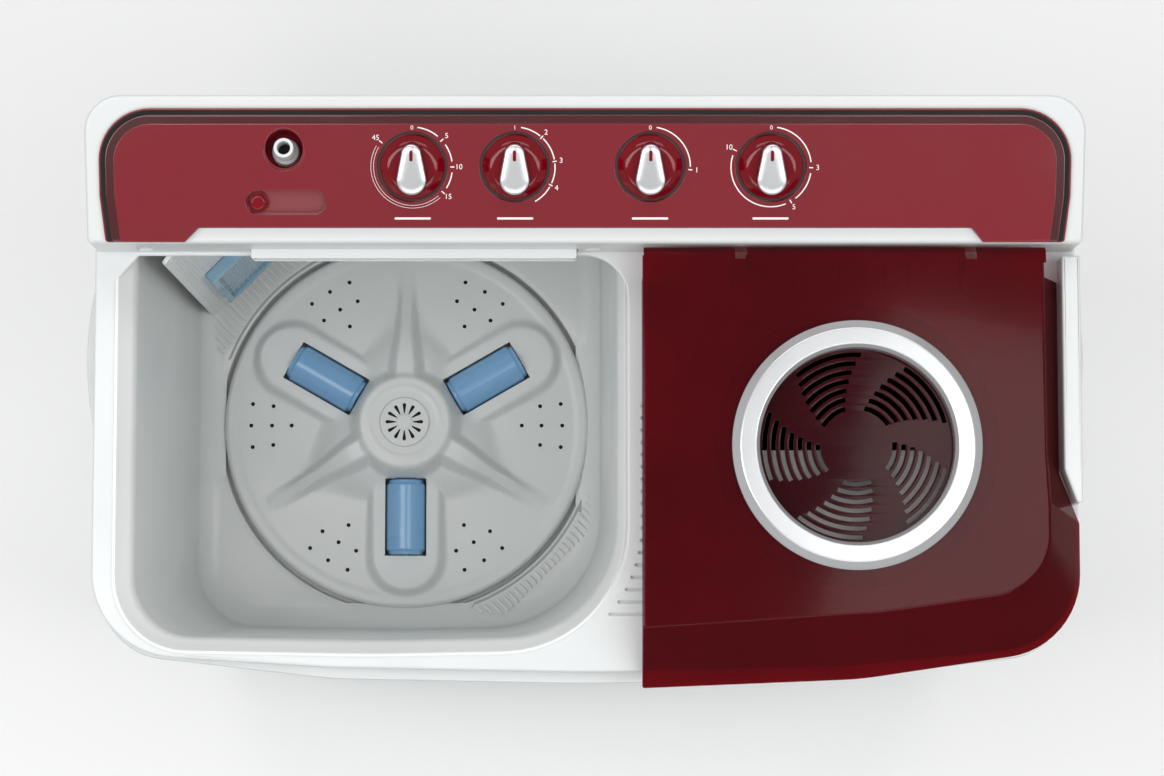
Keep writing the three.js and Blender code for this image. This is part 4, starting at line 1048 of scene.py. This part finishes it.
for name, x in knob_places.items():
    dome = turned("dome", [(0, 1, 0), (27, 1, 0.6), (26.6, 5, 2), (20, 11, 8), (0, 12, 0)], steps=96)
    grip = plate("grip", [egg_outline(0)], 9 * mm, 22 * mm, 1.2 * mm)
    stem = turned("stem", [(0, -24, 0), (3, -24, 0.3), (3, 2, 0.3), (0, 2, 0)], steps=24)
    knob = to_panel(join_all([dome, grip, stem]), x, knob_line)
    settle(knob, f"{name}_clear_knob", knob_red, f"{name}_knob", "red_clear", f"{name}_knob")
    cap_levels = [at_height(egg_outline(0.8), 22.3 * mm)]
    for step in range(9):
        turn = math.pi / 2 * step / 8
        shrink, height = 0.8 + 7.4 * (1 - math.cos(turn)), 22.6 + 1.9 * math.sin(turn)
        cap_levels.append(at_height(egg_outline(shrink), height * mm))
    knob_cap = to_panel(skin_over("cap", cap_levels, close_first=True, close_last=True), x, knob_line)
    settle(knob_cap, f"{name}_silver_cap", silver, f"{name}_knob", "silver_trim", f"{name}_knob_cap")
    pointer = plate("pointer", [oblong(-1.4, 7, 1.4, 16, 1.3)], 24.0 * mm, 24.6 * mm)
    settle(to_panel(pointer, x, knob_line), f"{name}_pointer", knob_red, f"{name}_knob", "silver_trim")

slider_knob = turned("slider_knob", [(0, 0.3, 0), (9, 0.3, 0.4), (9, 2.2, 0.6), (6.5, 2.2, 0.4),
                                     (6.5, 9, 2), (0, 9, 0)])
slider_arm = box_at("slider_arm", (0, 0, -6.5 * mm), (8 * mm, 8 * mm, 15 * mm))
slider = to_panel(join_all([slider_knob, slider_arm]), -271, 35)
settle(slider, "selector_slider_knob", knob_red, "selector_slider", "red_clear", "water_selector_slider")


# ---- Spin lid ----
# The lid is a deep tray of clear dark red plastic, its back edge rolled round the hinge.
# A silver ring is pressed into its middle, with a slotted grille of the same red plastic inside it.
# The lid's styrene shows what lies under it as dark red shapes. The grille's smoked red is nearly opaque.
lid_red = clear_red("clear_dark_red_lid_styrene", "#C00C28", "#48030D", 0.4, 0.12, 0.32)
grille_red = clear_red("smoked_red_grille_styrene", "#6A0A18", "#2A0208", 0.75, 0.0, 0.2)
lid_base = deck_top / mm
lid_top = lid_base + 47
lid_hinge_y, lid_hinge_z = 110, lid_base + 37
lid_ring_centre = Vector((226, -43)) * mm


def lid_outline(share, inset):
    """The lid's plan from its skirt (share 0) to its top (share 1)."""
    def mix(low, high):
        return low + (high - low) * share
    return rounded([
        (48 + inset, 116, 0), (48 + inset, mix(-244, -195) + inset, 2),
        (mix(230, 245), mix(-236.5, -182) + inset, 300),
        (mix(416, 385.5) - inset, mix(-209, -162) + inset, mix(70, 54) - inset),
        (mix(416, 385.5) - inset, mix(-106, -90), 8), (mix(399.5, 383.5) - inset, mix(-64, -50), 8),
        (mix(399.5, 382.5) - inset, 116, 0)], 12)


def lid_solid(name, levels):
    """A closed solid over the lid's plan at each (share, inset, height) level."""
    rings = [at_height(lid_outline(share, inset), height * mm) for share, inset, height in levels]
    return tidy_mesh(skin_over(name, rings, close_first=True, close_last=True))


lid = lid_solid("lid", [(0, 0.5, lid_base + 4), (0, 0, lid_base + 5), (0.9, 0, lid_top - 5),
                        (0.96, 0, lid_top - 2), (1, 0.6, lid_top - 0.6), (1, 1.8, lid_top)])
carve(lid, lid_solid("hollow", [(0, 3, lid_base + 3), (0, 3, lid_base + 5), (0.92, 3, lid_top - 5),
                                (1, 4, lid_top - 3)]))
carve(lid, box_at("open_back", (224 * mm, 114 * mm, (lid_top - 28) * mm), (362 * mm, 32 * mm, 50 * mm)))
carve(lid, plate("well", [circle(lid_ring_centre, 95 * mm, 96)], (lid_top - 20) * mm, (lid_top + 10) * mm))
roll = []
for radius, start, end in ((13.8, 46, 0), (10.5, 0, 42)):
    roll += [Vector((lid_hinge_y + radius * math.cos(a), lid_hinge_z + radius * math.sin(a)))
             for a in (math.radians(start + (end - start) * k / 10) for k in range(11))]
roll += [Vector((lid_hinge_y, lid_top - 3)), Vector((lid_hinge_y, lid_top - 0.03))]
barrel = skin_over("barrel", [[(x * mm, p.x * mm, p.y * mm) for p in roll] for x in (49, 385)],
                   close_first=True, close_last=True)
carve(lid, tidy_mesh(barrel), "UNION")
post_reach = 96
for side in (-1, 1):
    post_x = spin_centre.x + side * post_reach * mm
    carve(lid, box_at("notch", (post_x, 121.5 * mm, (lid_hinge_z + 1) * mm), (10 * mm, 17 * mm, 27 * mm)))
lugs = []
for side in (-1, 1):
    lug_x = spin_centre.x + side * (post_reach - 6.7) * mm
    lug = box_at("lug", (lug_x, lid_hinge_y * mm, (lid_hinge_z + 4.5) * mm), (5 * mm, 13 * mm, 9 * mm))
    lug_eye = turned("eye", [(3.5, -2.5, 0), (6.5, -2.5, 0.4), (6.5, 2.5, 0.4), (3.5, 2.5, 0)], steps=40)
    lug_eye.matrix_world = Matrix.Translation((lug_x, lid_hinge_y * mm, lid_hinge_z * mm)) @ lay_down
    lugs += [lug, tidy_mesh(lug_eye)]
under_ribs = [box_at("rib", (x * mm, 99 * mm, (lid_top - 7) * mm), (1.6 * mm, 22 * mm, 8.5 * mm))
              for x in (121.4, 173.8, 193.4, 212.5, 232, 251.2, 270.7, 314.4)]
collar = turned("collar", [(112, lid_top - 20, 1), (118, lid_top - 20, 1), (118, lid_top - 3.1, 0),
                           (112, lid_top - 3.1, 0)], lid_ring_centre, 128)
settle(join_all([lid] + lugs), "clear_spin_lid", lid_red, "spin_lid", "red_clear", "spin_lid")
settle(join_all([collar] + under_ribs), "lid_underside_ribs", grille_red, "spin_lid", "red_clear")

lid_ring = turned("lid_ring", [(81, lid_top - 8, 0.5), (94, lid_top - 8, 0.5), (94, lid_top + 0.3, 0.3),
                               (104, lid_top + 0.3, 0.5), (104, lid_top + 4, 1.2), (97, lid_top + 10, 2.5),
                               (84, lid_top + 10, 1.5), (81, lid_top + 6, 1.5)], lid_ring_centre, 160)
settle(lid_ring, "silver_lid_ring", silver, "spin_lid", "silver_trim", "spin_lid_ring")
ring_middle = lid_ring_centre / mm
grille_slots = []
for sector in range(5):
    for row in range(7):
        radius = 32 + row * 7.4
        start = 55 + 72 * sector - 21 - row * 3.2
        grille_slots.append(fan_slot(radius, 3.6, start, 43, ring_middle, 12))
grille = plate("grille", [circle(lid_ring_centre, 90 * mm, 128)], (lid_top - 12) * mm, (lid_top - 8.3) * mm,
               0.4 * mm, grille_slots, 1)
settle(grille, "slotted_air_grille", grille_red, "spin_lid", "red_clear", "lid_air_grille")


# ---- Inner lid and spin basket ----
# A pale polypropylene inner lid lies over the basket's mouth and hinges on two pins.
# The basket is a spun drum with a cone at its centre, on a steel shaft.
inner_low = deck_top + 0.5 * mm
inner_high = inner_low + 3 * mm
spin_x, spin_y = spin_centre / mm
inner_body = plate("inner_disc", [circle(spin_centre, 118 * mm, 128)], inner_low, inner_high, 0.8 * mm)
back_plan = oblong(spin_x - 97, spin_y, spin_x + 97, 66, 2, back_radius=6)
tab_plan = oblong(spin_x - 39, spin_y - 127, spin_x + 39, spin_y - 100, 8, back_radius=2)
inner_back = plate("inner_back", [back_plan], inner_low, inner_high, 0.8 * mm)
inner_tab = plate("inner_tab", [tab_plan], inner_low, inner_high, 0.8 * mm)
inner_pieces = [inner_body, inner_back, inner_tab]
for side in (-1, 1):
    knuckle_x = spin_x + side * 91
    knuckle = turned("knuckle", [(2.8, -10, 0.2), (4.5, -10, 0.6), (4.5, 10, 0.6), (2.8, 10, 0.2)], steps=40)
    knuckle.matrix_world = Matrix.Translation((knuckle_x * mm, 72 * mm, deck_top + 6 * mm)) @ lay_down
    strap = box_at("strap", (knuckle_x * mm, 64.5 * mm, inner_low + 1.5 * mm), (20 * mm, 9 * mm, 3 * mm))
    inner_pieces += [tidy_mesh(knuckle), strap]
settle(join_all(inner_pieces), "inner_spin_lid", grey_pp, "inner_lid", "grey_tub", "spin_inner_lid")

basket = turned("basket", [
    (0, 503, 0), (7.3, 503, 0), (7.3, 486, 0), (28, 486, 2), (114, 500, 6), (120, 880, 3), (105, 884, 2),
    (103, 882, 1), (104, 878, 1), (117.5, 872, 4), (111.5, 504, 10), (34, 492, 8), (22, 544, 6), (0, 548, 0),
], spin_centre, 144, 5)
settle(basket, "spin_basket_drum", grey_pp, "spin_basket", "grey_tub", "spin_basket")


# ---- Hidden parts ----
# The parts inside the cabinet keep their shapes and take the finish of what they are made of.
# Zinc plate is a cool bright grey, cast aluminium a duller grey with a coarse grain, and nylon a satin black.
grained("zinc_plated_steel", "#A9ADB1", "#9DA1A6", 0.32, 2.0 * mm, 0.01 * mm, metallic=1.0)
grained("sand_cast_aluminium", "#8B9095", "#7D8287", 0.5, 1.5 * mm, 0.08 * mm, metallic=1.0)
grained("black_glass_filled_nylon", "#1E1F21", "#2A2B2D", 0.5, 0.8 * mm, 0.04 * mm)
kept_finishes = {
    "zinc_plated_steel": ["pulsator_shaft", "drive_bracket", "spin_shaft", "brake_lever",
                          "suspension_spring_1", "suspension_spring_2", "suspension_spring_3"],
    "sand_cast_aluminium": ["wash_gearbox", "gearbox_pulley", "motor_pulley", "wash_motor", "spin_motor",
                            "brake_disc", "run_capacitor"],
    "matt_black_rubber": ["drive_belt", "bellows_seal", "cable_gland", "drain_plunger"],
    "black_glass_filled_nylon": ["wash_timer_unit", "wash_selector_switch", "spin_timer_unit"],
    "grey_white_polypropylene": ["spin_outer_tub", "drain_outlet", "drain_valve_body", "drain_selector_cam"],
}
for finish, names in kept_finishes.items():
    for name in names:
        node = frame["nodes"][name]
        for material_slot in node.material_slots:
            material_slot.link = "OBJECT"
            material_slot.material = bpy.data.materials[finish]
